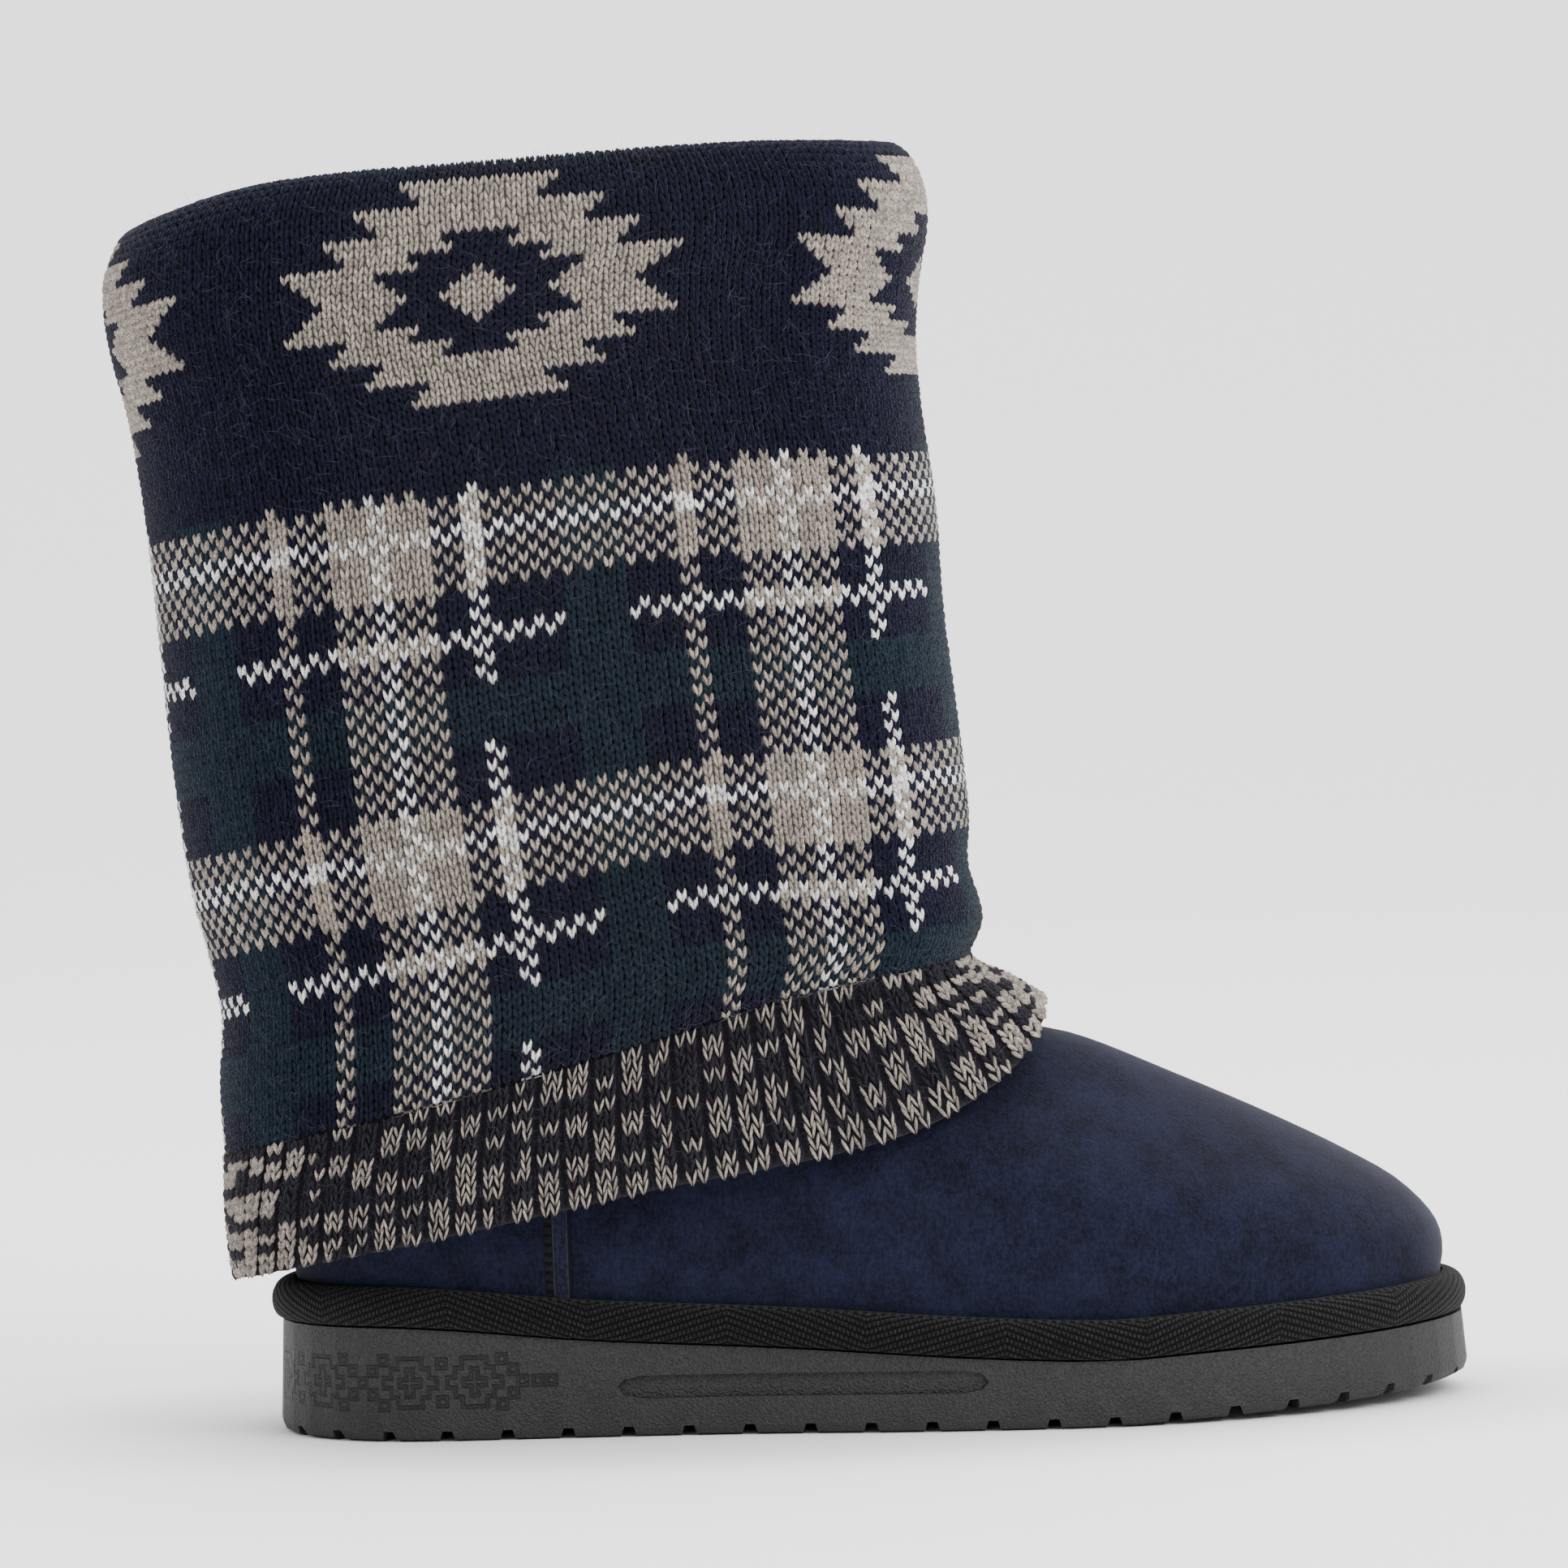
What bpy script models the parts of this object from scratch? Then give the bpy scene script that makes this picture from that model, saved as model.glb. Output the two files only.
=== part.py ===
"""Mukluk boot with a knitted sleeve, right foot.

The boot stands on its sole: +X runs from heel to toe, +Y is the inner side of the foot and +Z is up.
It is drawn with the back of the heel at x = 0 and the floor at z = 0, then moved so that the origin lies
under the centre of its bounding box. All sizes are in metres.
"""

import math

import bmesh
import bpy
import numpy as np
from mathutils import Vector

# Sole
SOLE_LENGTH = 0.268
HEEL_WIDTH = 0.074
WAIST_WIDTH = 0.077
BALL_WIDTH = 0.100
TOE_SWING = 0.0090  # how far the toe lies towards the big toe
HEEL_THICKNESS = 0.0252
SHANK_THICKNESS = 0.0186
BALL_THICKNESS = 0.0146
TOE_SPRING = 0.0044
EDGE_ROUND = 0.0022
EDGE_KNEE = 0.3  # place of the rounding's middle, as a share of its size
SOLE_FLARE = 0.0010  # how far the foot of the side wall stands out past its top
LUG_PITCH = 0.0134
LUG_START = 0.0386
GROOVE_DEPTH = 0.0024
GROOVE_FLOOR = 0.0021
GROOVE_MOUTH = 0.0036
NOTCH_LENGTH = 0.0130  # how far the notches round heel and toe reach in
PANEL_HEIGHT = 0.0050
PANEL_RISE = 0.0086
PANEL_DEPTH = 0.0007
PANEL_BACK = 0.285  # ends of the panel, as shares of the sole's length
PANEL_FRONT = 0.592

# Bound edge round the foot, and insole
BINDING_HEIGHT = 0.0085
BINDING_THICKNESS = 0.0050
INSOLE_THICKNESS = 0.0050
INSOLE_BEVEL = 0.0010

# Upper
UPPER_WALL = 0.0028
INSTEP_HEIGHT = 0.0860
SEAM_PLACE = 0.0645  # distance of the side seams from the back of the heel
SEAM_WIDTH = 0.0034
SEAM_RISE = 0.0011
SEAM_EDGE = 0.0006
SEAM_FADE = 3  # number of rings over which the side seams sink in under the sleeve

# Knitted sleeve
SHAFT_HEIGHT = 0.1995  # from the instep to the top of the collar
SHAFT_DEPTH = 0.1840  # front to back across the collar
SHAFT_WIDTH = 0.1040
KNIT_WALL = 0.0026
FOLD_WIDTH = 0.0120
FOLD_DROP = 0.0130
RIB_COUNT = 80
RIB_RISE = 0.0011
RIB_FADE = 0.7  # share of the ribs' rise that is left at the crease above the hem

# Clearances
CLEARANCE = 0.0005
SLEEVE_EASE = 0.0010  # between the shaft and the sleeve
EDGE_EASE = 0.0006  # between the insole and the upper

# Facets
HEEL_COLUMNS = 9
TOE_COLUMNS = 14
SLEEVE_COLUMNS = 40
SOLE_STATIONS = 28
TOE_CROWDING = 1.25  # above 1, the columns stand closer towards the toe
DENSE = 240

# Sole from the side: place along its length, shares of the three thicknesses, and lift as a share of the spring
SOLE_SIDE = (
    # place, heel, shank, ball, lift
    (0.000, 1.00, 0.00, 0.00, 0.00),
    (0.120, 0.98, 0.02, 0.00, 0.00),
    (0.260, 0.45, 0.55, 0.00, 0.00),
    (0.445, 0.00, 1.00, 0.00, 0.00),
    (0.570, 0.00, 0.40, 0.60, 0.00),
    (0.690, 0.00, 0.00, 1.00, 0.00),
    (0.780, 0.00, 0.00, 1.00, 0.21),
    (0.870, 0.00, 0.00, 1.00, 0.42),
    (0.940, 0.00, 0.00, 0.98, 0.66),
    (1.000, 0.00, 0.00, 0.94, 1.00),
)

# Sole from above: place along its length, shares of the three widths, and sideways shift as a share of the swing
SOLE_PLAN = (
    # place, heel, waist, ball, shift
    (0.00, 0.98, 0.00, 0.00, 0.12),
    (0.14, 1.00, 0.00, 0.00, 0.04),
    (0.40, 0.00, 1.00, 0.00, -0.22),
    (0.54, 0.00, 0.42, 0.58, -0.16),
    (0.68, 0.00, 0.00, 1.00, 0.10),
    (0.84, 0.00, 0.00, 1.00, 0.55),
    (1.00, 0.00, 0.00, 0.96, 1.00),
)
HEEL_ROUND = 0.150  # length of the heel's rounded end, as a share of the sole's length
TOE_ROUND = 0.330
END_FULLNESS = 2.2

# Upper's rings from the feather edge to the ankle. Places of back and front, and the length of the rounded
# nose, are shares of the sole's length. Heel, waist and ball are shares of the sole's widths. Heights at the
# back, side and front are shares of the instep height, and start from the top of the sole where on_sole is 1.
FOOT_RINGS = (
    # back, front, nose, fullness, heel, waist, ball, high_back, high_side, high_front, on_sole
    (0.0185, 0.9760, 0.325, 2.20, 0.865, 0.865, 0.892, 0.004, 0.004, 0.004, 1),
    (0.0165, 0.9790, 0.325, 2.20, 0.880, 0.880, 0.905, 0.105, 0.105, 0.105, 1),
    (0.0120, 0.9815, 0.325, 2.15, 0.920, 0.905, 0.925, 0.165, 0.165, 0.155, 1),
    (0.0085, 0.9790, 0.322, 2.10, 0.945, 0.920, 0.930, 0.510, 0.455, 0.425, 0),
    (0.0075, 0.9700, 0.318, 2.00, 0.950, 0.925, 0.920, 0.590, 0.525, 0.475, 0),
    (0.0080, 0.9450, 0.312, 1.90, 0.950, 0.920, 0.895, 0.670, 0.600, 0.553, 0),
    (0.0085, 0.9020, 0.308, 1.80, 0.945, 0.910, 0.850, 0.745, 0.675, 0.636, 0),
    (0.0080, 0.8400, 0.308, 1.72, 0.935, 0.890, 0.785, 0.820, 0.755, 0.737, 0),
    (0.0060, 0.7580, 0.312, 1.70, 0.920, 0.870, 0.705, 0.905, 0.845, 0.857, 0),
    (0.0000, 0.6780, 0.322, 1.75, 0.905, 0.855, 0.640, 1.010, 0.950, 0.966, 0),
    (-0.0060, 0.6080, 0.330, 1.90, 0.905, 0.870, 0.640, 1.125, 1.070, 1.026, 0),
    (-0.0150, 0.5610, 0.330, 2.10, 0.940, 0.930, 0.710, 1.265, 1.220, 1.165, 0),
    (-0.0260, 0.5500, 0.330, 2.20, 1.020, 1.020, 0.820, 1.430, 1.410, 1.360, 0),
)

# Sleeve's hem from its edge to the crease above it. Places are shares of the sole's length, wide is a share
# of the shaft's width, and the heights, from back to front, are shares of the instep height.
HEM_RINGS = (
    # back, front, wide, fullness, high at the back, three between, and at the front
    (-0.0320, 0.6520, 0.930, 3.20, 0.405, 0.505, 0.640, 0.772, 1.0620),
    (-0.0370, 0.6240, 0.920, 2.80, 0.555, 0.661, 0.807, 0.951, 1.1160),
    (-0.0375, 0.5880, 0.905, 2.45, 0.715, 0.817, 0.974, 1.134, 1.1800),
)

# Sleeve above the crease. Places are shares of the shaft's depth, wide is a share of its width, and the
# heights, from back to front, are measured up from the instep as shares of the shaft's height.
SHAFT_RINGS = (
    # back, front, wide, fullness, high at the back, three between, and at the front
    (-0.0576, 0.8730, 0.915, 2.35, -0.040, 0.000, 0.060, 0.105, 0.1220),
    (-0.0530, 0.8580, 0.935, 2.30, 0.040, 0.085, 0.128, 0.160, 0.1800),
    (-0.0842, 0.8600, 0.965, 2.25, 0.180, 0.203, 0.222, 0.235, 0.2380),
    (-0.1010, 0.8510, 0.985, 2.20, 0.311, 0.325, 0.335, 0.340, 0.3410),
    (-0.1130, 0.8370, 1.000, 2.15, 0.460, 0.468, 0.471, 0.471, 0.4680),
    (-0.1250, 0.8310, 0.995, 2.15, 0.600, 0.604, 0.602, 0.598, 0.5920),
    (-0.1440, 0.8160, 0.985, 2.15, 0.722, 0.730, 0.728, 0.722, 0.7120),
    (-0.1600, 0.8130, 0.980, 2.15, 0.783, 0.793, 0.790, 0.784, 0.7750),
    (-0.1668, 0.8200, 0.985, 2.15, 0.830, 0.846, 0.852, 0.850, 0.8450),
    (-0.1660, 0.8320, 0.985, 2.15, 0.866, 0.891, 0.903, 0.908, 0.9100),
)
CREST = (0.935, 0.970, 0.985, 0.996, 1.000)  # height of the collar's crest, from back to front

# Roll of the collar: inset as a share of the fold's width, and depth below the crest as a share of its drop
COLLAR_ROLL = (
    # inset, down
    (0.05, 0.72),
    (0.20, 0.36),
    (0.40, 0.10),
    (0.63, 0.00),
    (0.85, 0.16),
    (0.98, 0.52),
    (1.00, 1.00),
)
SHAFT_TOP = 1.05  # depth of the shaft's edge below the crest, as a share of the fold's drop

# Cross-section of the bound edge: distance out from the upper, and height above the sole
BINDING_SECTION = (
    # out, up
    (0.00, 0.00),
    (0.90, 0.00),
    (1.06, 0.14),
    (1.12, 0.38),
    (1.04, 0.64),
    (0.80, 0.86),
    (0.46, 0.98),
    (0.00, 1.00),
)


def through(knots, values, at):
    """Smooth curve through the values at the knots, read at each place in at."""
    knots = np.asarray(knots, float)
    values = np.asarray(values, float)
    slopes = np.gradient(values, knots)
    at = np.clip(np.asarray(at, float), knots[0], knots[-1])
    cell = np.clip(np.searchsorted(knots, at, side="right") - 1, 0, len(knots) - 2)
    width = knots[cell + 1] - knots[cell]
    t = (at - knots[cell]) / width
    rest = 1 - t
    return (
        values[cell] * (1 + 2 * t) * rest**2
        + values[cell + 1] * (3 - 2 * t) * t**2
        + slopes[cell] * width * t * rest**2
        - slopes[cell + 1] * width * rest * t**2
    )


def through_level(values, at):
    """Smooth curve through values at even steps from 0 to 1, level at both ends."""
    step = 1 / (len(values) - 1)
    knots = np.linspace(-step, 1 + step, len(values) + 2)
    return through(knots, [values[1], *values, values[-2]], at)


def column(table, number):
    return np.array([row[number] for row in table])


def sole_bottom(x):
    share = np.asarray(x) / SOLE_LENGTH
    return TOE_SPRING * np.maximum(through(column(SOLE_SIDE, 0), column(SOLE_SIDE, 4), share), 0)


def sole_top(x):
    share = np.asarray(x) / SOLE_LENGTH
    thickness = (
        column(SOLE_SIDE, 1) * HEEL_THICKNESS
        + column(SOLE_SIDE, 2) * SHANK_THICKNESS
        + column(SOLE_SIDE, 3) * BALL_THICKNESS
    )
    return sole_bottom(x) + through(column(SOLE_SIDE, 0), thickness, share)


def foot_widths(heel=1.0, waist=1.0, ball=1.0):
    """Full widths at the places of the sole's plan, with each of its three widths scaled."""
    return (
        column(SOLE_PLAN, 1) * HEEL_WIDTH * heel
        + column(SOLE_PLAN, 2) * WAIST_WIDTH * waist
        + column(SOLE_PLAN, 3) * BALL_WIDTH * ball
    )


def shift(x):
    """Sideways place of the foot's centre line at x."""
    return TOE_SWING * through(
        column(SOLE_PLAN, 0), column(SOLE_PLAN, 4), np.asarray(x) / SOLE_LENGTH
    )


def rounded(distance, length, fullness):
    """Share of the full width that is left this far from a rounded end."""
    inside = np.clip(distance / length, 0, 1)
    return (1 - (1 - inside) ** fullness) ** (1 / fullness)


def dense_x(back, front):
    turn = np.linspace(0, math.pi, DENSE)
    return back + (front - back) * (1 - np.cos(turn)) / 2


def foot_side(back, front, widths, heel_round, nose, fullness, inset, x=None):
    """Half outline of a foot-shaped ring: x, centre line and half width, from back to front."""
    back += inset
    front -= inset
    x = dense_x(back, front) if x is None else back + (front - back) * x
    half = through(column(SOLE_PLAN, 0), widths, x / SOLE_LENGTH) / 2 - inset
    half = half * rounded(x - back, heel_round, END_FULLNESS)
    half = half * rounded(front - x, nose, fullness)
    return x, shift(x), half


def sole_side(inset, x=None):
    return foot_side(
        0.0,
        SOLE_LENGTH,
        foot_widths(),
        HEEL_ROUND * SOLE_LENGTH,
        TOE_ROUND * SOLE_LENGTH,
        END_FULLNESS,
        inset,
        x,
    )


def seamed_columns(x, y, z):
    """One side's curve read at the upper's columns, with four of them along the side seam's edges."""
    walked = np.concatenate([[0], np.cumsum(np.hypot(np.diff(x), np.diff(y)))])
    edges = SEAM_PLACE + SEAM_WIDTH / 2 * np.array([-1, -1, 1, 1])
    edges = np.interp(edges + SEAM_EDGE * np.array([-1, 0, 0, 1]), x, walked)
    behind = np.linspace(0, edges[0], HEEL_COLUMNS + 1)[:-1]
    ahead = 1 - (1 - np.linspace(0, 1, TOE_COLUMNS + 1)) ** TOE_CROWDING
    ahead = edges[3] + (walked[-1] - edges[3]) * ahead[1:]
    at = np.concatenate([behind, edges, ahead])
    return np.column_stack([np.interp(at, walked, values) for values in (x, y, z)])


def even_columns(x, y, z, count):
    """One side's curve read at evenly spaced columns."""
    walked = np.concatenate([[0], np.cumsum(np.hypot(np.diff(x), np.diff(y)))])
    at = np.linspace(0, walked[-1], count // 2 + 1)
    return np.column_stack([np.interp(at, walked, values) for values in (x, y, z)])


def ring_of(outer, inner):
    """A closed ring from its outer and inner sides, both running from back to front."""
    return np.concatenate([outer, inner[-2:0:-1]])


def foot_heights(row, x):
    heights = [INSTEP_HEIGHT * share for share in row[7:10]]
    along = (x - x.min()) / (x.max() - x.min())
    on_sole = CLEARANCE + sole_top(x) if row[10] else 0.0
    return on_sole + through_level(heights, along)


def foot_ring(row, inset=0.0):
    back, front, nose, fullness, heel, waist, ball = row[:7]
    x, centre, half = foot_side(
        back * SOLE_LENGTH,
        front * SOLE_LENGTH,
        foot_widths(heel, waist, ball),
        HEEL_ROUND * SOLE_LENGTH,
        nose * SOLE_LENGTH,
        fullness,
        inset,
    )
    z = foot_heights(row, x)
    sides = [seamed_columns(x, centre + sign * half, z) for sign in (-1, 1)]
    return ring_of(*sides)


def oval_side(back, front, half, fullness, heights, inset):
    """Half of an oval: x, y and z from back to front, with heights at five even steps along it."""
    turn = np.linspace(0, math.pi, DENSE)
    reach = np.sign(np.cos(turn)) * np.abs(np.cos(turn)) ** (2 / fullness)
    x = (back + front) / 2 - ((front - back) / 2 - inset) * reach
    y = (half - inset) * np.sin(turn) ** (2 / fullness)
    walked = np.concatenate([[0], np.cumsum(np.hypot(np.diff(x), np.diff(y)))])
    z = through_level(heights, walked / walked[-1])
    return x, y, z


def sleeve_side(number, inset=0.0, heights=None, drop=0.0):
    """Half of one of the sleeve's rings, hem first, drawn in by the inset."""
    if number < len(HEM_RINGS):
        back, front, wide, fullness, *high = HEM_RINGS[number]
        places = back * SOLE_LENGTH, front * SOLE_LENGTH
        high = [INSTEP_HEIGHT * share for share in high]
    else:
        back, front, wide, fullness, *high = SHAFT_RINGS[number - len(HEM_RINGS)]
        places = back * SHAFT_DEPTH, front * SHAFT_DEPTH
        high = heights or high
        high = [INSTEP_HEIGHT + SHAFT_HEIGHT * share for share in high]
    high = [height - drop for height in high]
    return oval_side(*places, wide * SHAFT_WIDTH / 2, fullness, high, inset)


def sleeve_ring(side, count):
    x, y, z = side
    half = even_columns(x, y, z, count)
    return ring_of(half * (1, -1, 1), half)


def shaft_ring(side):
    x, y, z = side
    return ring_of(seamed_columns(x, -y, z), seamed_columns(x, y, z))


def outward(rings):
    """Unit normals of the surface through the rings, pointing out."""
    along = np.gradient(rings, axis=0)
    around = np.roll(rings, -1, axis=1) - np.roll(rings, 1, axis=1)
    normals = np.cross(around, along)
    return normals / np.linalg.norm(normals, axis=2, keepdims=True)


def add_ring(mesh, places):
    """A closed ring of new points; it returns the points and the edges between them."""
    points = [mesh.verts.new(place) for place in places]
    edges = [mesh.edges.new(pair) for pair in zip(points, points[1:] + points[:1])]
    return points, edges


def loft(mesh, rings):
    """Extrudes the first ring through all others; it returns each ring's points."""
    points, edges = add_ring(mesh, rings[0])
    drawn = [points]
    for places in rings[1:]:
        made = bmesh.ops.extrude_edge_only(mesh, edges=edges)["geom"]
        fresh = {item for item in made if isinstance(item, bmesh.types.BMVert)}
        moved = []
        for point, place in zip(points, places):
            above = next(e.other_vert(point) for e in point.link_edges if e.other_vert(point) in fresh)
            above.co = place
            moved.append(above)
        points = moved
        edges = [mesh.edges.get(pair) for pair in zip(points, points[1:] + points[:1])]
        drawn.append(points)
    return drawn


def cap(mesh, points):
    """Closes a ring with faces that run straight across it, so that it may curve along its length."""
    count = len(points)
    for i in range(count // 2):
        across = (points[i], points[i + 1], points[-i - 1], points[-i] if i else points[0])
        mesh.faces.new(list(dict.fromkeys(across)))


def material(name, colour, roughness):
    made = bpy.data.materials.new(name)
    made.use_nodes = True
    shader = made.node_tree.nodes["Principled BSDF"]
    shader.inputs["Base Color"].default_value = (*colour, 1.0)
    shader.inputs["Roughness"].default_value = roughness
    shader.inputs["Metallic"].default_value = 0.0
    return made


def finish(name, mesh, colour, roughness, sharp_angle=45):
    """Turns a bmesh into an object with faces pointing out and a material of its own."""
    bmesh.ops.recalc_face_normals(mesh, faces=mesh.faces)
    data = bpy.data.meshes.new(name)
    mesh.to_mesh(data)
    mesh.free()
    data.shade_smooth()
    data.set_sharp_from_angle(angle=math.radians(sharp_angle))
    data.materials.append(material(name.replace("_", " "), colour, roughness))
    made = bpy.data.objects.new(name, data)
    bpy.context.scene.collection.objects.link(made)
    return made


def add_wall(made, thickness):
    """Gives an open shell its wall, inwards from the outer face."""
    wall = made.modifiers.new("Wall", "SOLIDIFY")
    wall.thickness = thickness
    wall.offset = -1
    wall.use_even_offset = True
    wall.use_rim = True
    return made


def add_cut(made, cutter, name):
    cutter.hide_render = True
    cutter.display_type = "WIRE"
    cut = made.modifiers.new(name, "BOOLEAN")
    cut.operation = "DIFFERENCE"
    cut.solver = "EXACT"
    cut.object = cutter


def groove(mesh, start, end):
    """A bar of trapezoid section from start to end, for cutting the tread from below."""
    start, end = Vector(start), Vector(end)
    along = (end - start).normalized()
    beside = Vector((-along.y, along.x))
    slope = (GROOVE_MOUTH - GROOVE_FLOOR) / 2 / GROOVE_DEPTH
    under = GROOVE_DEPTH  # how far the bar reaches below the tread
    for point in bmesh.ops.create_cube(mesh, size=2.0)["verts"]:
        far, side, high = point.co
        place = end if far > 0 else start
        rise = GROOVE_DEPTH if high > 0 else -under
        half = GROOVE_FLOOR / 2 + slope * (GROOVE_DEPTH - rise)
        place = place + beside * half * side
        point.co = (*place, float(sole_bottom(place.x)) + rise)


def sole_notches():
    """Start and end of each groove: bars across the middle, and short ones round heel and toe."""
    last = SOLE_LENGTH * (1 - TOE_ROUND / 2)
    count = int((last - LUG_START) / LUG_PITCH) + 1
    for i in range(count):
        x = LUG_START + i * LUG_PITCH
        yield (x, -BALL_WIDTH), (x, BALL_WIDTH)
    yield from notches_round(LUG_START, -1)
    yield from notches_round(LUG_START + (count - 1) * LUG_PITCH, 1)


def notches_round(x_bar, way):
    """Short grooves at even steps round the end of the sole beyond the last bar, pointing at its middle."""
    x, centre, half = sole_side(0.0)
    beyond = (x - x_bar) * way > 0
    side = np.column_stack([x, centre - half])[beyond]
    other = np.column_stack([x, centre + half])[beyond]
    edge = np.concatenate([side, other[::-1]]) if way > 0 else np.concatenate([side[::-1], other])
    walked = np.concatenate([[0], np.cumsum(np.linalg.norm(np.diff(edge, axis=0), axis=1))])
    steps = round(walked[-1] / LUG_PITCH)
    middle = Vector((x_bar, float(shift(x_bar))))
    for i in range(1, steps):
        at = walked[-1] * i / steps
        place = Vector([float(np.interp(at, walked, values)) for values in edge.T])
        ray = (place - middle).normalized()
        yield place - ray * NOTCH_LENGTH, place + ray * LUG_PITCH


def sole_ring(inset, high, stations):
    """The sole's outline at a level: high is called with x."""
    x, centre, half = sole_side(inset, stations)
    z = high(x)
    return ring_of(np.column_stack([x, centre - half, z]), np.column_stack([x, centre + half, z]))


def side_panel(mesh, back, front):
    """A shallow bar with round ends, for sinking a plain panel into the outer side of the sole."""
    steps = 12
    turn = np.linspace(0, 1, steps + 1)
    x = back + (front - back) * (1 - np.cos(math.pi * turn)) / 2
    share = x / SOLE_LENGTH
    rings = []
    for inset in (SOLE_FLARE + PANEL_DEPTH, -PANEL_DEPTH):
        at, centre, half = sole_side(inset, share)
        reach = rounded(np.minimum(at - at[0], at[-1] - at), PANEL_HEIGHT, 2.0) * PANEL_HEIGHT / 2
        middle = PANEL_RISE + PANEL_HEIGHT / 2
        low = np.column_stack([at, centre - half, middle - reach])
        high = np.column_stack([at, centre - half, middle + reach])
        rings.append(ring_of(low, high))
    for points in loft(mesh, rings):
        cap(mesh, points)


def make_outsole():
    stations = (1 - np.cos(np.linspace(0, math.pi, SOLE_STATIONS + 1))) / 2
    levels = (
        (EDGE_ROUND, sole_bottom),
        (EDGE_ROUND * EDGE_KNEE, lambda x: sole_bottom(x) + EDGE_ROUND * EDGE_KNEE),
        (0.0, lambda x: sole_bottom(x) + EDGE_ROUND),
        (SOLE_FLARE, sole_top),
    )
    mesh = bmesh.new()
    drawn = loft(mesh, [sole_ring(inset, high, stations) for inset, high in levels])
    cap(mesh, drawn[0])
    cap(mesh, drawn[-1])
    sole = finish("outsole", mesh, (0.045, 0.044, 0.046), 0.8, 30)
    cutter = bmesh.new()
    for start, end in sole_notches():
        groove(cutter, start, end)
    add_cut(sole, finish("tread_cutter", cutter, (1, 1, 1), 1.0), "Tread")
    cutter = bmesh.new()
    side_panel(cutter, PANEL_BACK * SOLE_LENGTH, PANEL_FRONT * SOLE_LENGTH)
    add_cut(sole, finish("panel_cutter", cutter, (1, 1, 1), 1.0), "Panel")


def make_insole():
    inset = UPPER_WALL + EDGE_EASE
    levels = (
        (CLEARANCE, 0.0),
        (INSOLE_THICKNESS - INSOLE_BEVEL, 0.0),
        (INSOLE_THICKNESS, INSOLE_BEVEL),
    )
    rings = []
    for up, draw_in in levels:
        ring = foot_ring(FOOT_RINGS[0], inset + draw_in)
        ring[:, 2] = sole_top(ring[:, 0]) + up
        rings.append(ring)
    mesh = bmesh.new()
    drawn = loft(mesh, rings)
    cap(mesh, drawn[0])
    cap(mesh, drawn[-1])
    finish("insole", mesh, (0.16, 0.15, 0.14), 0.95, 40)


def upper_rings():
    """The upper's outer face, from the feather edge to the collar, with the side seams raised."""
    rings = [foot_ring(row) for row in FOOT_RINGS]
    inset = KNIT_WALL + SLEEVE_EASE
    first = len(HEM_RINGS) + 3
    last = len(HEM_RINGS) + len(SHAFT_RINGS) - 1
    rings += [shaft_ring(sleeve_side(number, inset)) for number in range(first, last)]
    top = sleeve_side(last, inset, CREST, SHAFT_TOP * FOLD_DROP)
    rings.append(shaft_ring(top))
    rings = np.array(rings)
    normals = outward(rings)
    seam = np.zeros(rings.shape[1])
    half = HEEL_COLUMNS + 4 + TOE_COLUMNS
    for start in (HEEL_COLUMNS + 1, HEEL_COLUMNS + 2):
        seam[[start, 2 * half - 2 - start]] = SEAM_RISE
    fade = np.clip((len(FOOT_RINGS) - 1 - np.arange(len(rings))) / SEAM_FADE, 0, 1)
    return rings + normals * (fade[:, None] * seam)[..., None], normals


def make_upper():
    mesh = bmesh.new()
    loft(mesh, upper_rings()[0])
    upper = finish("upper", mesh, (0.018, 0.028, 0.080), 0.95)
    add_wall(upper, UPPER_WALL)


def make_binding():
    """Padded tape round the foot, over the rim of the sole."""
    rings, normals = upper_rings()
    low, high = rings[0], rings[1]
    out = normals[0] * (1, 1, 0)
    out = out / np.linalg.norm(out, axis=1, keepdims=True)
    floor = sole_top(low[:, 0] + out[:, 0] * BINDING_THICKNESS) + CLEARANCE
    top = floor + BINDING_HEIGHT
    loops = []
    for share_out, share_up in BINDING_SECTION:
        z = floor + (top - floor) * share_up
        t = ((z - low[:, 2]) / (high[:, 2] - low[:, 2]))[:, None]
        wall = low + (high - low) * np.clip(t, 0, 1)
        place = wall + out * (CLEARANCE + BINDING_THICKNESS * share_out)
        place[:, 2] = z
        loops.append(place)
    mesh = bmesh.new()
    drawn = loft(mesh, loops)
    edges = [
        mesh.edges.get(pair)
        for ring in (drawn[0], drawn[-1])
        for pair in zip(ring, ring[1:] + ring[:1])
    ]
    bmesh.ops.bridge_loops(mesh, edges=edges)
    finish("binding_tape", mesh, (0.016, 0.015, 0.016), 0.9, 60)


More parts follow.
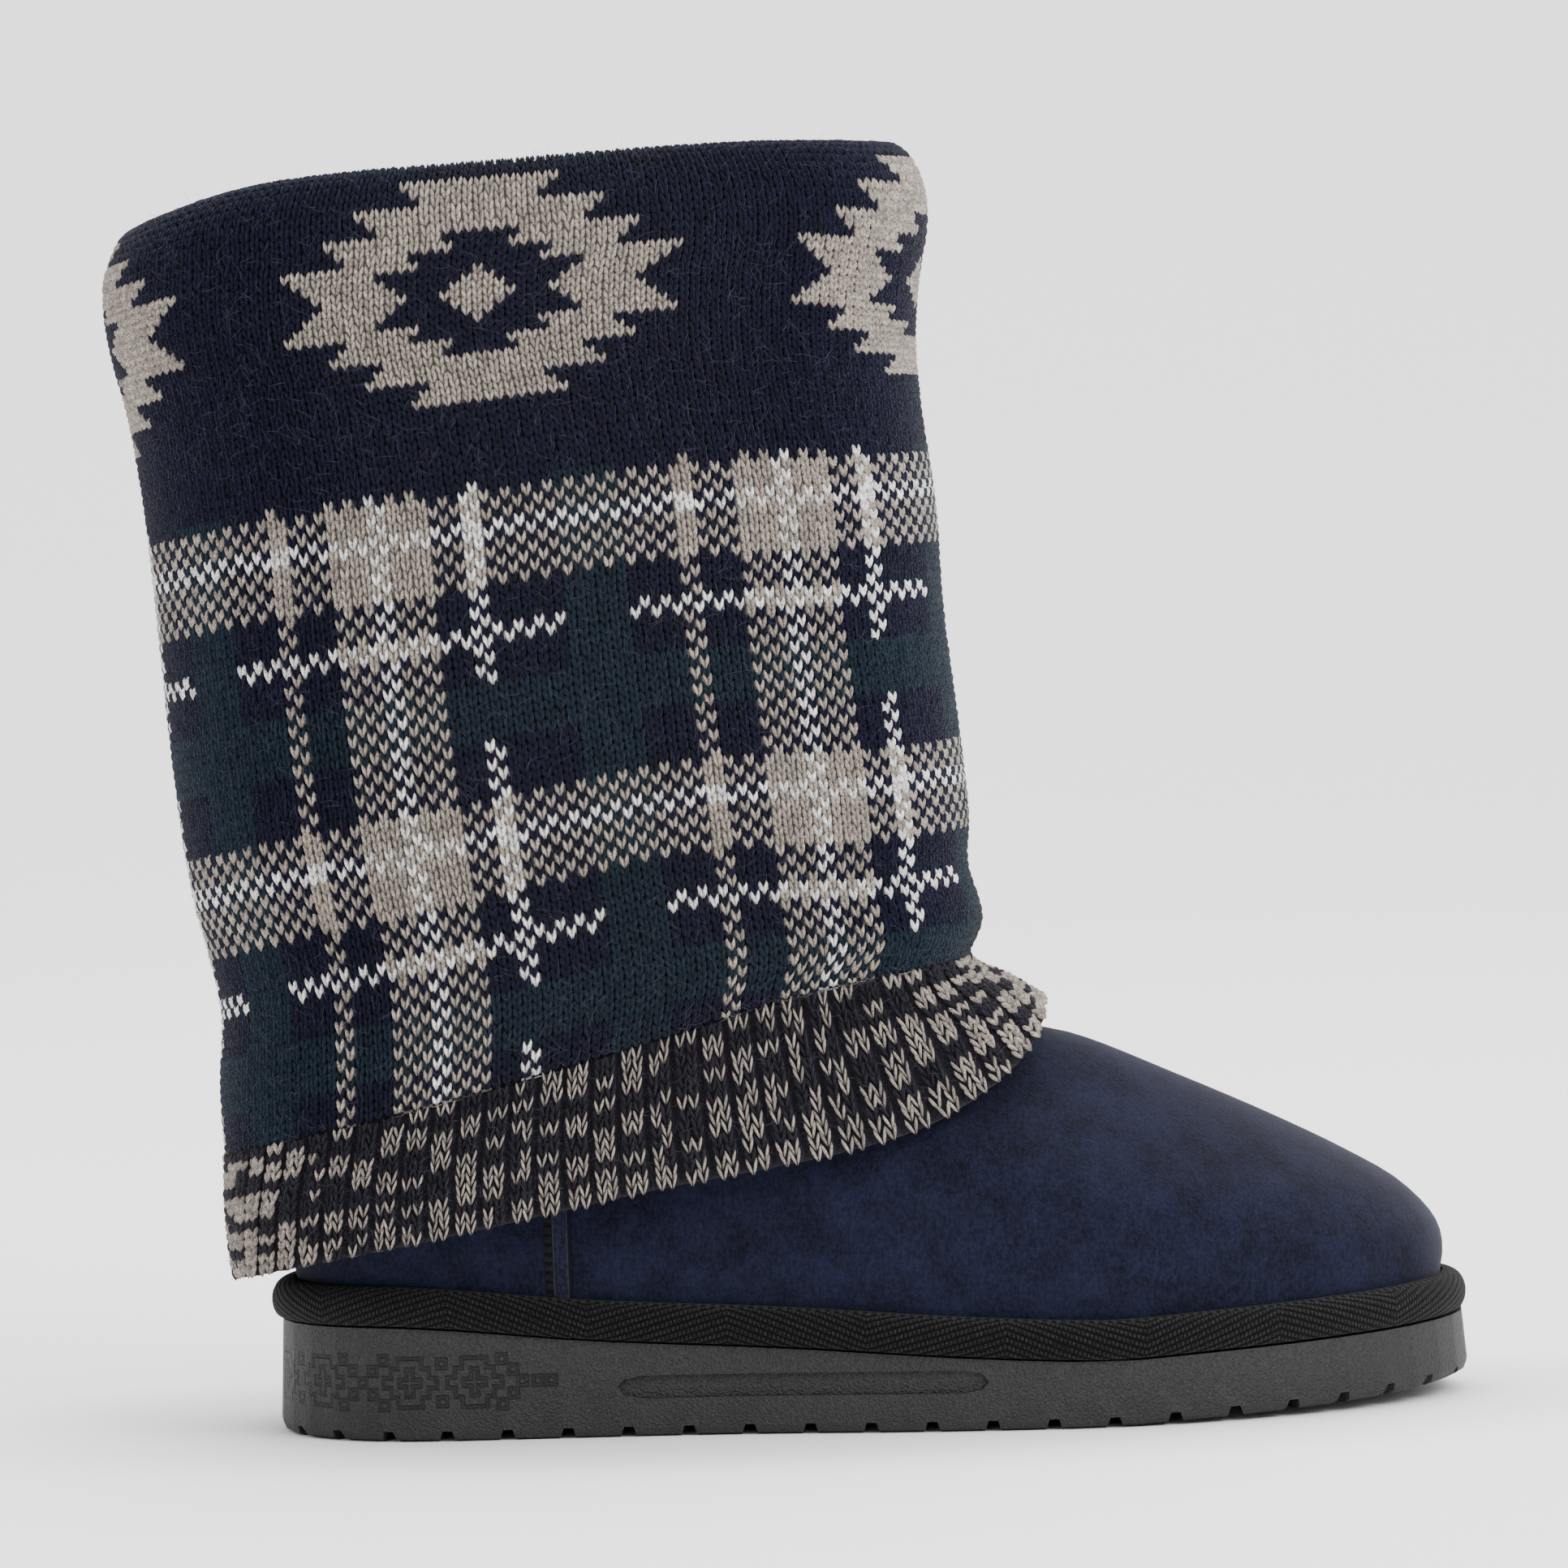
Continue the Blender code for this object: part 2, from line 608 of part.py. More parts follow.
def make_sleeve():
    ribbed = []
    for number in range(len(HEM_RINGS)):
        ribbed.append(sleeve_ring(sleeve_side(number), 2 * RIB_COUNT))
    ribbed = np.array(ribbed)
    rise = np.where(np.arange(2 * RIB_COUNT) % 2, RIB_RISE / 2, -RIB_RISE / 2)
    fade = np.linspace(1, RIB_FADE, len(HEM_RINGS))[:, None] * rise
    ribbed = ribbed + outward(ribbed) * fade[..., None]
    first = len(HEM_RINGS)
    plain = [
        sleeve_ring(sleeve_side(number), SLEEVE_COLUMNS)
        for number in range(first, first + len(SHAFT_RINGS))
    ]
    top = first + len(SHAFT_RINGS) - 1
    for inset, down in COLLAR_ROLL:
        side = sleeve_side(top, inset * FOLD_WIDTH, CREST, down * FOLD_DROP)
        plain.append(sleeve_ring(side, SLEEVE_COLUMNS))
    for number in (top - 1, top - 2):
        plain.append(sleeve_ring(sleeve_side(number, FOLD_WIDTH), SLEEVE_COLUMNS))
    mesh = bmesh.new()
    hem = loft(mesh, ribbed)[-1]
    body = loft(mesh, plain)[0]
    between = len(hem) // len(body)
    for i in range(len(body)):
        j = (i + 1) % len(body)
        lower = [hem[(i * between + k) % len(hem)] for k in range(between + 1)]
        mesh.faces.new(lower + [body[j], body[i]])
    sleeve = finish("knit_sleeve", mesh, (0.020, 0.022, 0.050), 0.95, 70)
    add_wall(sleeve, KNIT_WALL)


def centre_on_floor():
    """Moves every object so that the origin lies under the middle of the boot's bounding box."""
    bpy.context.view_layer.update()
    graph = bpy.context.evaluated_depsgraph_get()
    shown = [made for made in bpy.data.objects if not made.hide_render]
    corners = [Vector(c) for made in shown for c in made.evaluated_get(graph).bound_box]
    middle = [(min(c[i] for c in corners) + max(c[i] for c in corners)) / 2 for i in (0, 1)]
    for made in bpy.data.objects:
        made.location = (-middle[0], -middle[1], 0.0)


def main():
    for each in list(bpy.data.objects):
        bpy.data.objects.remove(each)
    make_outsole()
    make_insole()
    make_upper()
    make_binding()
    make_sleeve()
    centre_on_floor()


main()
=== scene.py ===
"""Looks of a right mukluk boot with a knitted sleeve: +X to the toe, +Y to the inner side of the foot, +Z up.

Each operator in the panel makes one piece or the stage around it. Lengths are in metres, and the shapes are
drawn with the back of the heel at x = 0, then moved to the frame.
"""

import math
from functools import partialmethod

import bmesh
import bpy
import numpy as np
from bpy.props import FloatProperty, FloatVectorProperty, IntProperty, PointerProperty
from mathutils import Matrix, Vector


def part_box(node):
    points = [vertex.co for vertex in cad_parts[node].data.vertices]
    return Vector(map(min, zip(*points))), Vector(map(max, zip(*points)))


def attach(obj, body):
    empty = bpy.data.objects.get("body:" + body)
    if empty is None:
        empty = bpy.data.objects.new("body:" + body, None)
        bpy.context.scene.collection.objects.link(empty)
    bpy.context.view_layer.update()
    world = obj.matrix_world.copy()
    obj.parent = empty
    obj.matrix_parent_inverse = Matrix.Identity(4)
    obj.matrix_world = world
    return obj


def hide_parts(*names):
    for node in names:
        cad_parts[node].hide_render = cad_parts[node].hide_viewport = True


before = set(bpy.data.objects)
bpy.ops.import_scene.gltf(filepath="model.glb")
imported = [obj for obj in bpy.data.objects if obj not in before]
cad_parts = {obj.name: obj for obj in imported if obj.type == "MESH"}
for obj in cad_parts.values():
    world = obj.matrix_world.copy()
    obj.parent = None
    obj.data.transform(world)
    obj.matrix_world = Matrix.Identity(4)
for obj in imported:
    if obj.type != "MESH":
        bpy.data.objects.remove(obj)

bl_info = {
    "name": "Mukluk boot",
    "version": (1, 0, 0),
    "blender": (4, 5, 0),
    "location": "View3D > Sidebar > Boot",
    "description": "Makes a mukluk boot with a knitted sleeve, and a stage for it",
    "category": "Object",
}


def length(name, default, about=""):
    return FloatProperty(name=name, description=about or name, default=default, unit="LENGTH", precision=5)


def share(name, default, about=""):
    return FloatProperty(name=name, description=about or name, default=default, precision=4)


def colour(name, default):
    return FloatVectorProperty(
        name=name, description=name, default=default, subtype="COLOR", size=3, min=0, max=1
    )


class FootSizes(bpy.types.PropertyGroup):
    """Sizes of the sole and of the foot above it."""

    sole_length: length("Sole length", 0.268)
    heel_width: length("Heel width", 0.074)
    waist_width: length("Waist width", 0.077)
    ball_width: length("Ball width", 0.100)
    toe_swing: length("Toe swing", 0.0090, "How far the toe lies towards the big toe")
    heel_thickness: length("Sole thickness at the heel", 0.0252)
    shank_thickness: length("Sole thickness at the shank", 0.0186)
    ball_thickness: length("Sole thickness at the ball", 0.0146)
    toe_spring: length("Toe spring", 0.0044)
    instep_height: length("Instep height", 0.0860)
    wall: length("Wall of the upper", 0.0028)
    seam_place: length("Side seam", 0.0645, "Distance of the side seams from the back of the heel")
    seam_width: length("Width of the side seam", 0.0034)
    seam_rise: length("Rise of the side seam", 0.0012)
    binding_height: length("Height of the binding", 0.0085)
    binding_thickness: length("Thickness of the binding", 0.0050)
    clearance: length("Clearance", 0.0005)


class SleeveSizes(bpy.types.PropertyGroup):
    """Sizes of the sleeve and gauge of its knit."""

    shaft_height: length("Shaft height", 0.1995, "From the instep to the top of the collar")
    shaft_depth: length("Shaft depth", 0.1840, "Front to back across the collar")
    shaft_width: length("Shaft width", 0.1040)
    fold_width: length("Fold width", 0.0120)
    fold_drop: length("Fold drop", 0.0130)
    wales: IntProperty(name="Wales", description="Stitches round the sleeve", default=192)
    plaid_rows: IntProperty(name="Plaid rows", description="Rows below the band at the top", default=70)
    band_rows: IntProperty(name="Band rows", description="Rows in the band at the top", default=34)
    turned_rows: IntProperty(name="Turned rows", description="Rows over the fold and inside", default=20)
    row_height: length("Row height", 0.00213)
    band_row_height: length("Row height in the band", 0.00178)
    ribs: IntProperty(name="Ribs", description="Ribs round the hem", default=72)
    rib_rows: IntProperty(name="Rib rows", description="Rows in the ribbed hem", default=14)
    rib_rise: length("Rib rise", 0.0014, "Height of a rib above the grooves beside it")
    stitch_rise: length("Stitch rise", 0.00072, "Height of a stitch above the gaps in the knit")
    tuck: length("Tuck", 0.0045, "Length of the plaid pushed together above the hem")
    front_tuck: length("Tuck at the front", 0.0105, "What the front has of this besides")
    back_lift: length("Lift at the back", 0.0042, "How far the rows rise to the back")
    front_sag: length("Sag at the front", 0.0042, "How far the rows of the band hang at the front")
    fibres: IntProperty(name="Loose fibres", description="Loose fibres on the sleeve", default=9000)
    fibre_length: length("Fibre length", 0.0050)


class YarnColours(bpy.types.PropertyGroup):
    """Colours of the yarns."""

    navy: colour("Navy", (0.0057, 0.0062, 0.0205))
    beige: colour("Beige", (0.390, 0.336, 0.290))
    white: colour("White", (0.900, 0.875, 0.850))
    green: colour("Green", (0.0080, 0.0170, 0.0285))
    charcoal: colour("Charcoal", (0.0175, 0.0160, 0.0235))
    fibre: colour("Loose fibres", (0.0500, 0.0500, 0.0720))


class StageSizes(bpy.types.PropertyGroup):
    """Camera and light."""

    distance: length("Camera distance", 2.0)
    eye_height: length("Camera height", 0.250)
    aim_along: length("Aim along the boot", -0.0011)
    aim_height: length("Aim height", 0.1415)
    roll: share("Camera roll", 0.0315, "Lean of the picture, in radians")
    focal: share("Focal length", 204.8, "In millimetres, with a sensor of 36 mm")


# Sole from the side: place along its length, shares of the three thicknesses, and share of the toe spring
SOLE_SIDE = (
    (0.000, 1.00, 0.00, 0.00, 0.00),
    (0.120, 0.98, 0.02, 0.00, 0.00),
    (0.260, 0.45, 0.55, 0.00, 0.00),
    (0.445, 0.00, 1.00, 0.00, 0.00),
    (0.570, 0.00, 0.40, 0.60, 0.00),
    (0.690, 0.00, 0.00, 1.00, 0.00),
    (0.780, 0.00, 0.00, 1.00, 0.21),
    (0.870, 0.00, 0.00, 1.00, 0.42),
    (0.940, 0.00, 0.00, 0.98, 0.66),
    (1.000, 0.00, 0.00, 0.94, 1.00),
)

# Sole from above: place along its length, shares of heel, waist and ball width, and sideways shift
SOLE_PLAN = (
    (0.00, 0.98, 0.00, 0.00, 0.12),
    (0.14, 1.00, 0.00, 0.00, 0.04),
    (0.40, 0.00, 1.00, 0.00, -0.22),
    (0.54, 0.00, 0.42, 0.58, -0.16),
    (0.68, 0.00, 0.00, 1.00, 0.10),
    (0.84, 0.00, 0.00, 1.00, 0.55),
    (1.00, 0.00, 0.00, 0.96, 1.00),
)
HEEL_ROUND = 0.150
TOE_ROUND = 0.330
END_FULLNESS = 2.2
SOLE_SHARP = 35  # least angle of a sharp edge, in degrees
FOOTBED_SHARP = 60
SIDE_LEAN = 0.5  # greatest upward part of the normal on the sides of the sole

# Rings of the foot: back, front and nose as shares of the sole's length, fullness, shares of the three
# widths, heights at the back, side and front as shares of the instep height, and 1 if measured from the sole
FOOT_RINGS = (
    (0.0185, 0.9760, 0.325, 2.20, 0.865, 0.865, 0.892, 0.004, 0.004, 0.004, 1),
    (0.0165, 0.9790, 0.325, 2.20, 0.880, 0.880, 0.905, 0.105, 0.105, 0.105, 1),
    (0.0120, 0.9815, 0.325, 2.15, 0.920, 0.905, 0.925, 0.165, 0.165, 0.155, 1),
    (0.0085, 0.9790, 0.322, 2.10, 0.945, 0.920, 0.930, 0.510, 0.455, 0.425, 0),
    (0.0075, 0.9700, 0.318, 2.00, 0.950, 0.925, 0.920, 0.590, 0.525, 0.475, 0),
    (0.0080, 0.9450, 0.312, 1.90, 0.950, 0.920, 0.895, 0.670, 0.600, 0.553, 0),
    (0.0085, 0.9020, 0.308, 1.80, 0.945, 0.910, 0.850, 0.745, 0.675, 0.636, 0),
    (0.0080, 0.8400, 0.308, 1.72, 0.935, 0.890, 0.785, 0.820, 0.755, 0.737, 0),
    (0.0060, 0.7580, 0.312, 1.70, 0.920, 0.870, 0.705, 0.905, 0.845, 0.857, 0),
    (0.0000, 0.6780, 0.322, 1.75, 0.905, 0.855, 0.640, 1.010, 0.950, 0.966, 0),
    (-0.0060, 0.6080, 0.330, 1.90, 0.905, 0.870, 0.640, 1.125, 1.070, 1.026, 0),
    (-0.0150, 0.5610, 0.330, 2.10, 0.940, 0.930, 0.710, 1.265, 1.220, 1.165, 0),
    (-0.0260, 0.5500, 0.330, 2.20, 1.020, 1.020, 0.820, 1.430, 1.410, 1.360, 0),
)

# Rings of the hem, and of the sleeve above it: back, front, width, fullness, and five heights from the back
# to the front
HEM_RINGS = (
    (-0.0320, 0.6520, 0.930, 3.20, 0.405, 0.505, 0.640, 0.772, 1.0620),
    (-0.0370, 0.6240, 0.920, 2.80, 0.555, 0.661, 0.807, 0.951, 1.1160),
    (-0.0375, 0.5880, 0.905, 2.45, 0.715, 0.817, 0.974, 1.134, 1.1800),
)
SHAFT_RINGS = (
    (-0.0576, 0.8730, 0.915, 2.35, -0.040, 0.000, 0.060, 0.105, 0.1220),
    (-0.0530, 0.8580, 0.935, 2.30, 0.040, 0.085, 0.128, 0.160, 0.1800),
    (-0.0842, 0.8600, 0.965, 2.25, 0.180, 0.203, 0.222, 0.235, 0.2380),
    (-0.1010, 0.8510, 0.985, 2.20, 0.311, 0.325, 0.335, 0.340, 0.3410),
    (-0.1130, 0.8370, 1.000, 2.15, 0.460, 0.468, 0.471, 0.471, 0.4680),
    (-0.1250, 0.8310, 0.995, 2.15, 0.600, 0.604, 0.602, 0.598, 0.5920),
    (-0.1440, 0.8160, 0.985, 2.15, 0.722, 0.730, 0.728, 0.722, 0.7120),
    (-0.1600, 0.8130, 0.980, 2.15, 0.783, 0.793, 0.790, 0.784, 0.7750),
    (-0.1668, 0.8200, 0.985, 2.15, 0.830, 0.846, 0.852, 0.850, 0.8450),
    (-0.1660, 0.8320, 0.985, 2.15, 0.866, 0.891, 0.903, 0.908, 0.9100),
)
CREST = (0.922, 0.968, 0.985, 0.996, 0.992)  # heights of the collar's crest, from the back to the front

# Turned collar: way in as a share of the fold's width, and down as a share of its drop
COLLAR_ROLL = (
    (0.05, 0.72), (0.20, 0.36), (0.40, 0.10), (0.63, 0.00), (0.85, 0.16), (0.98, 0.52), (1.00, 1.00),
)
OUTLINE_POINTS = 600
UPPER_COLUMNS = 360
UPPER_STEP = 0.0032  # between the rings drawn
KNIT_STEP = 0.0012
SEAM_SKIRT = 0.0004  # by which the raised seam is wider on each side
SEAM_TOP = 0.095  # height at which it ends, under the sleeve
SEAM_FADE = 0.020
SEAM_CHANNEL = (-0.0030, -0.0014, 0.0005)  # start, end and softness across the seam
SEAM_STRIP = (-0.0010, 0.0016, 0.0004)
SEAM_GROOVE = (0.0022, 0.0026, 0.0004)
SEAM_STITCH = 0.0021
SHAFT_FROM = len(HEM_RINGS) + 3  # ring of the sleeve from which the shaft in it is drawn
SHAFT_TOP = 1.05  # how far below the crest the shaft ends, as a share of the fold's drop
SLEEVE_WALL = 0.0026
SHAFT_GAP = 0.0010  # between the sleeve and the shaft in it

# Section of the binding: way out as a share of its thickness, and up as a share of its height
BINDING_SECTION = (
    (0.00, 0.00), (0.60, -0.01), (0.90, 0.02), (1.03, 0.12), (1.10, 0.26), (1.11, 0.42),
    (1.07, 0.57), (0.96, 0.72), (0.78, 0.86), (0.50, 0.96), (0.22, 1.00), (0.00, 1.00),
)
BINDING_COLUMNS = 480
BINDING_ROWS = 34
BINDING_MIDDLE = 12  # row on which the length round the foot is measured
BINDING_SHARP = 60  # least angle of its sharp edges, in degrees

# Outline of the stepped diamond, per row from its middle up: half width of the figure, and half width of the
# dark field inside it, in wales
MOTIF_ROWS = (
    (14, 6), (15, 7), (16, 8), (17, 9), (18, 5), (12, 6), (13, 2),
    (14, 3), (9, -1), (10, -1), (11, -1), (5, -1), (6, -1), (7, -1),
)
MOTIF_CORE = 3  # half size of the small diamond in the middle
MOTIF_WALE = 45
MOTIF_ROW = 87
MOTIF_PERIOD = 48

# Plaid: first wale or row of each stripe and the number after its last
PLAID_WALES = 39
PLAID_ROWS = 32
PLAID_ORIGIN = 22  # wale of the first thin stripe
PLAID_LAST = 64  # row under the plain band
THIN_STRIPE = (0, 2)
BLOCK = (6, 16)
BLOCK_CENTRE = (10, 12)
WHITE_STRIPE = (19, 21)
GREEN_STRIPE = (28, 34)
GREEN_ROWS = (6, 12)
DASH_ROWS = (16, 18)
BIRDSEYE_ROWS = (22, 33)
BIRDSEYE_CENTRE = (27, 29)

# Weave of the tape, in lengths along and across it
TAPE_REPEAT = 0.062
TAPE_SLOPE = 0.34
TAPE_ROW = 0.00150
TAPE_DASH = 0.00095
TAPE_KNOT = 0.0021
TAPE_EDGE = (0.0136, 0.0150)  # where the knots along its edge start and end

# Figures round the heel: half widths and half heights of the boxes that make them up, and their places along
# the edge, for the squares also above and below the middle
CROSS_STEPS = ((0.00275, 0.0054), (0.0043, 0.0032), (0.0061, 0.0011))
PLUS_STEPS = ((0.00075, 0.0030), (0.0024, 0.00075))
SQUARE = ((0.00095, 0.00095),)
CROSS_PLACES = (0.0, 0.0145, 0.0296, 0.0518, 0.0663)
SQUARE_PLACES = (
    (0.00725, 0.0043), (0.02205, 0.0043), (0.0357, 0.0050), (0.0382, 0.0026), (0.0407, 0.0),
    (0.0432, 0.0026), (0.0457, 0.0050), (0.05905, 0.0042), (0.0724, 0.0050), (0.0749, 0.0026),
    (0.0769, 0.0), (0.0803, 0.0), (0.0833, 0.0),
)
FIGURE_HEIGHT = 0.0132
FIGURE_LINE = 0.00028  # half width of their lines

# One leg of a stitch, from its foot up: place across in wales, place up in rows, half width in wales, and
# height as a share of the stitch's rise
STITCH_LEG = (
    (0.05, -0.80, 0.00, -0.10),
    (0.12, -0.42, 0.140, 0.62),
    (0.23, 0.05, 0.205, 1.00),
    (0.32, 0.48, 0.170, 0.82),
    (0.36, 0.82, 0.00, -0.10),
)
RIB_LEG = (
    (0.04, -0.80, 0.00, -0.10),
    (0.13, -0.42, 0.100, 0.62),
    (0.26, 0.03, 0.130, 1.00),
    (0.38, 0.44, 0.110, 0.82),
    (0.45, 0.80, 0.00, -0.10),
)
LEG_FACES = (
    (0, 2, 1), (0, 3, 2), (1, 2, 5), (1, 5, 4), (2, 3, 6), (2, 6, 5),
    (4, 5, 8), (4, 8, 7), (5, 6, 9), (5, 9, 8), (7, 8, 10), (8, 9, 10),
)
LEG_SLANT = 0.35  # how far its inner side lies above its outer side, for its width
LEG_EDGE = -0.45  # height of a leg's sides as a share of the stitch's rise
LEG_PAINTED_SHADES = (0.30, 0.80, 1.00, 0.92, 0.45)  # painted shade on a leg at each place, from its foot up: dark at its ends, where stitches meet
# painted shade at a leg's sides, between it and the next leg
SIDE_PAINTED_SHADE = 0.62
BASE_DEPTH = 0.0007  # of the cloth under the stitches
BASE_WALL = 0.0016
# painted shade of the cloth under the stitches, seen in the gaps between them
BASE_PAINTED_SHADE = 0.35
TURNED_FROM = 0.90  # share of the height from which rows follow the crest
SLEEVE_SEED = 7
STITCH_BANDS = 4  # pieces that the stitches above the hem are cut into
YARN_SPREAD = 0.16  # how far stitches differ in shade, and each of their legs
LEG_SPREAD = 0.14
STITCH_TILT = (0.045, 0.065, 0.00004)  # spread of their places across, up and out

# Hem: height across a rib, its middle level, columns of the grid to a rib, and those of its two wales
RIB_PROFILE = (
    (0, 0), (0.07, 0.2), (0.20, 0.8), (0.32, 1), (0.5, 0.85), (0.68, 1), (0.80, 0.8), (0.93, 0.2), (1, 0),
)
RIB_LEVEL = 0.75
HEM_SEED = 11
RIB_COLUMNS = 16
RIB_WALES = ((2, 8), (8, 14))
RIB_TILT = (0.07, 0.08, 0.00008)
BACK_RIBS = 5  # ribs on each side of the back that have less beige
BACK_LIGHT = 0.60
MARL_LIGHT = (0.50, 0.95)  # least and greatest chance of a rib to start light
LONG_RUNS = 0.35  # share of runs that may have three rows
STAYS_LIGHT = 0.20
WHOLE_RIBS = 0.65  # share of ribs whose two wales match
LIGHT_EDGE = 0.85  # share of light stitches in the rows at its edge
EDGE_ROWS = 2
# painted shade of the hem's cloth under its stitches
HEM_BASE_PAINTED_SHADE = 0.50
HEM_LIGHT = 1.25
HEM_SPREAD = (0.55, 1.0)  # least and greatest share of beige in the leg of a light stitch
HEM_RISE = 0.95  # rise of its stitches, as a share of those of the sleeve
HEM_FIBRES = 4  # the sleeve has this many times its fibres
HEM_FIBRE_LENGTH = 0.7
HEM_FAN = 4  # how late the ribs spread towards the front

# Run of the rows: where the tuck above the hem grows along the sole, how softly it starts, the share of its
# height that a tucked row keeps, and the share under which its stitches are hidden
TUCK_SPAN = (0.085, 0.145)
TUCK_SOFT = 0.0012
TUCK_REST = 0.02
TUCKED_ROW = 0.35
LIFT_SPAN = (0.040, -0.0305)  # from where the rows start to rise to the back of the crest
LIFT_PEAK = 27 / 4  # brings the peak of the lift's curve to 1
SAG_SPAN = (0.120, 0.150)  # from where the rows start to hang to the front of the crest

# Stage: the floor bends up into a wall behind the boot
FLOOR_WIDTH = 12
FLOOR_NEAR = 5
FLOOR_BACK = 3
FLOOR_BEND = 1.4
FLOOR_STEPS = 25
WALL_HEIGHT = 6
# The floor shines by its own emission as painted light, and is left dark under the boot as a painted shadow
FLOOR_PAINTED_LIGHT = 0.6
WORLD_LIGHT = 1.1
PAINTED_SHADOW_EDGE = (0.150, 0.075)  # half sizes of the painted shadow under the boot, where the floor is not lit by its own emission
PAINTED_SHADOW_RAMP = (0.85, 1.6)  # start and end of its soft edge
LIT = Vector((0, 0, 0.12))  # what the lights point at
LIGHTS = (  # name, place, size and power
    ("key", (1.2, -1.3, 1.5), 1.2, 42),
    ("fill", (-1.3, -1.3, 1.2), 1.4, 4),
    ("top", (0.1, 0.4, 2.0), 1.6, 34),
)

# Colours of the materials
FLEECE = (0.105, 0.100, 0.098, 1)
FLOOR = (0.90, 0.90, 0.90, 1)
RUBBER = (0.0150, 0.0145, 0.0150, 1)
# painted shade in the sunk figures round the heel
RUBBER_FIGURES_PAINTED_SHADE = (0.0008, 0.0008, 0.0008, 1)
SUEDE = (0.0058, 0.0070, 0.0185, 1)
# Seam: painted shade in its channel and groove, the stitches' own colour, and painted highlight on its raised
# strip
SUEDE_CHANNEL_PAINTED_SHADE = (0.0015, 0.0016, 0.0030, 1)
SUEDE_GROOVE_PAINTED_SHADE = (0.0025, 0.0030, 0.0070, 1)
SUEDE_STITCHES = (0.022, 0.022, 0.030, 1)
SUEDE_STRIP_PAINTED_HIGHLIGHT = (0.0180, 0.0200, 0.0400, 1)
TAPE = (0.0035, 0.0034, 0.0037, 1)
YARN_STRANDS = (0.075, 0.075, 0.100, 1)

# Loose fibres: place along one and share of its width there
FIBRE = ((0.00, 0.6), (0.35, 1.0), (0.70, 0.8), (1.00, 0.3))
FIBRE_WIDTH = 0.00007
FIBRE_BEND = 0.45
FIBRE_SHORTEST = 0.35  # share of the full length
FIBRE_ROOT = 0.0005  # height of its root over the sleeve
FIBRE_RISE = (0.0004, 0.0016)
FIBRE_ARCH = 1.4  # the nearer to 1, the more its end comes down again


def through(knots, values, at):
    """Smooth curve through the values at the knots, read at each place in at."""
    knots = np.asarray(knots, float)
    values = np.asarray(values, float)
    slopes = np.gradient(values, knots, axis=0)
    at = np.clip(np.asarray(at, float), knots[0], knots[-1])
    cell = np.clip(np.searchsorted(knots, at, side="right") - 1, 0, len(knots) - 2)
    spread = (...,) + (None,) * (values.ndim - 1)
    width = (knots[cell + 1] - knots[cell])[spread]
    t = (at - knots[cell])[spread] / width
    rest = 1 - t
    return (
        values[cell] * (1 + 2 * t) * rest**2
        + values[cell + 1] * (3 - 2 * t) * t**2
        + slopes[cell] * width * t * rest**2
        - slopes[cell + 1] * width * rest * t**2
    )


def through_level(values, at):
    """Smooth curve through values at even steps from 0 to 1, level at both ends."""
    step = 1 / (len(values) - 1)
    knots = np.linspace(-step, 1 + step, len(values) + 2)
    return through(knots, [values[1], *values, values[-2]], at)


def column(table, number):
    return np.array([row[number] for row in table])


def walked(*line):
    """Distance along a line from its start to each of its points."""
    steps = np.sqrt(sum(np.diff(values) ** 2 for values in line))
    return np.concatenate([[0], np.cumsum(steps)])


def between(value, low, high):
    """How far the value has come from low to high, from 0 to 1."""
    return np.clip((value - low) / (high - low), 0, 1)


def points_at(line, gone, at):
    """Points of a line at these distances along it, where gone holds those of its own points."""
    return np.column_stack([np.interp(at, gone, values) for values in line.T])


def rounded(distance, reach, fullness):
    """Share of the full width that is left this far from a rounded end."""
    inside = np.clip(distance / reach, 0, 1)
    return (1 - (1 - inside) ** fullness) ** (1 / fullness)


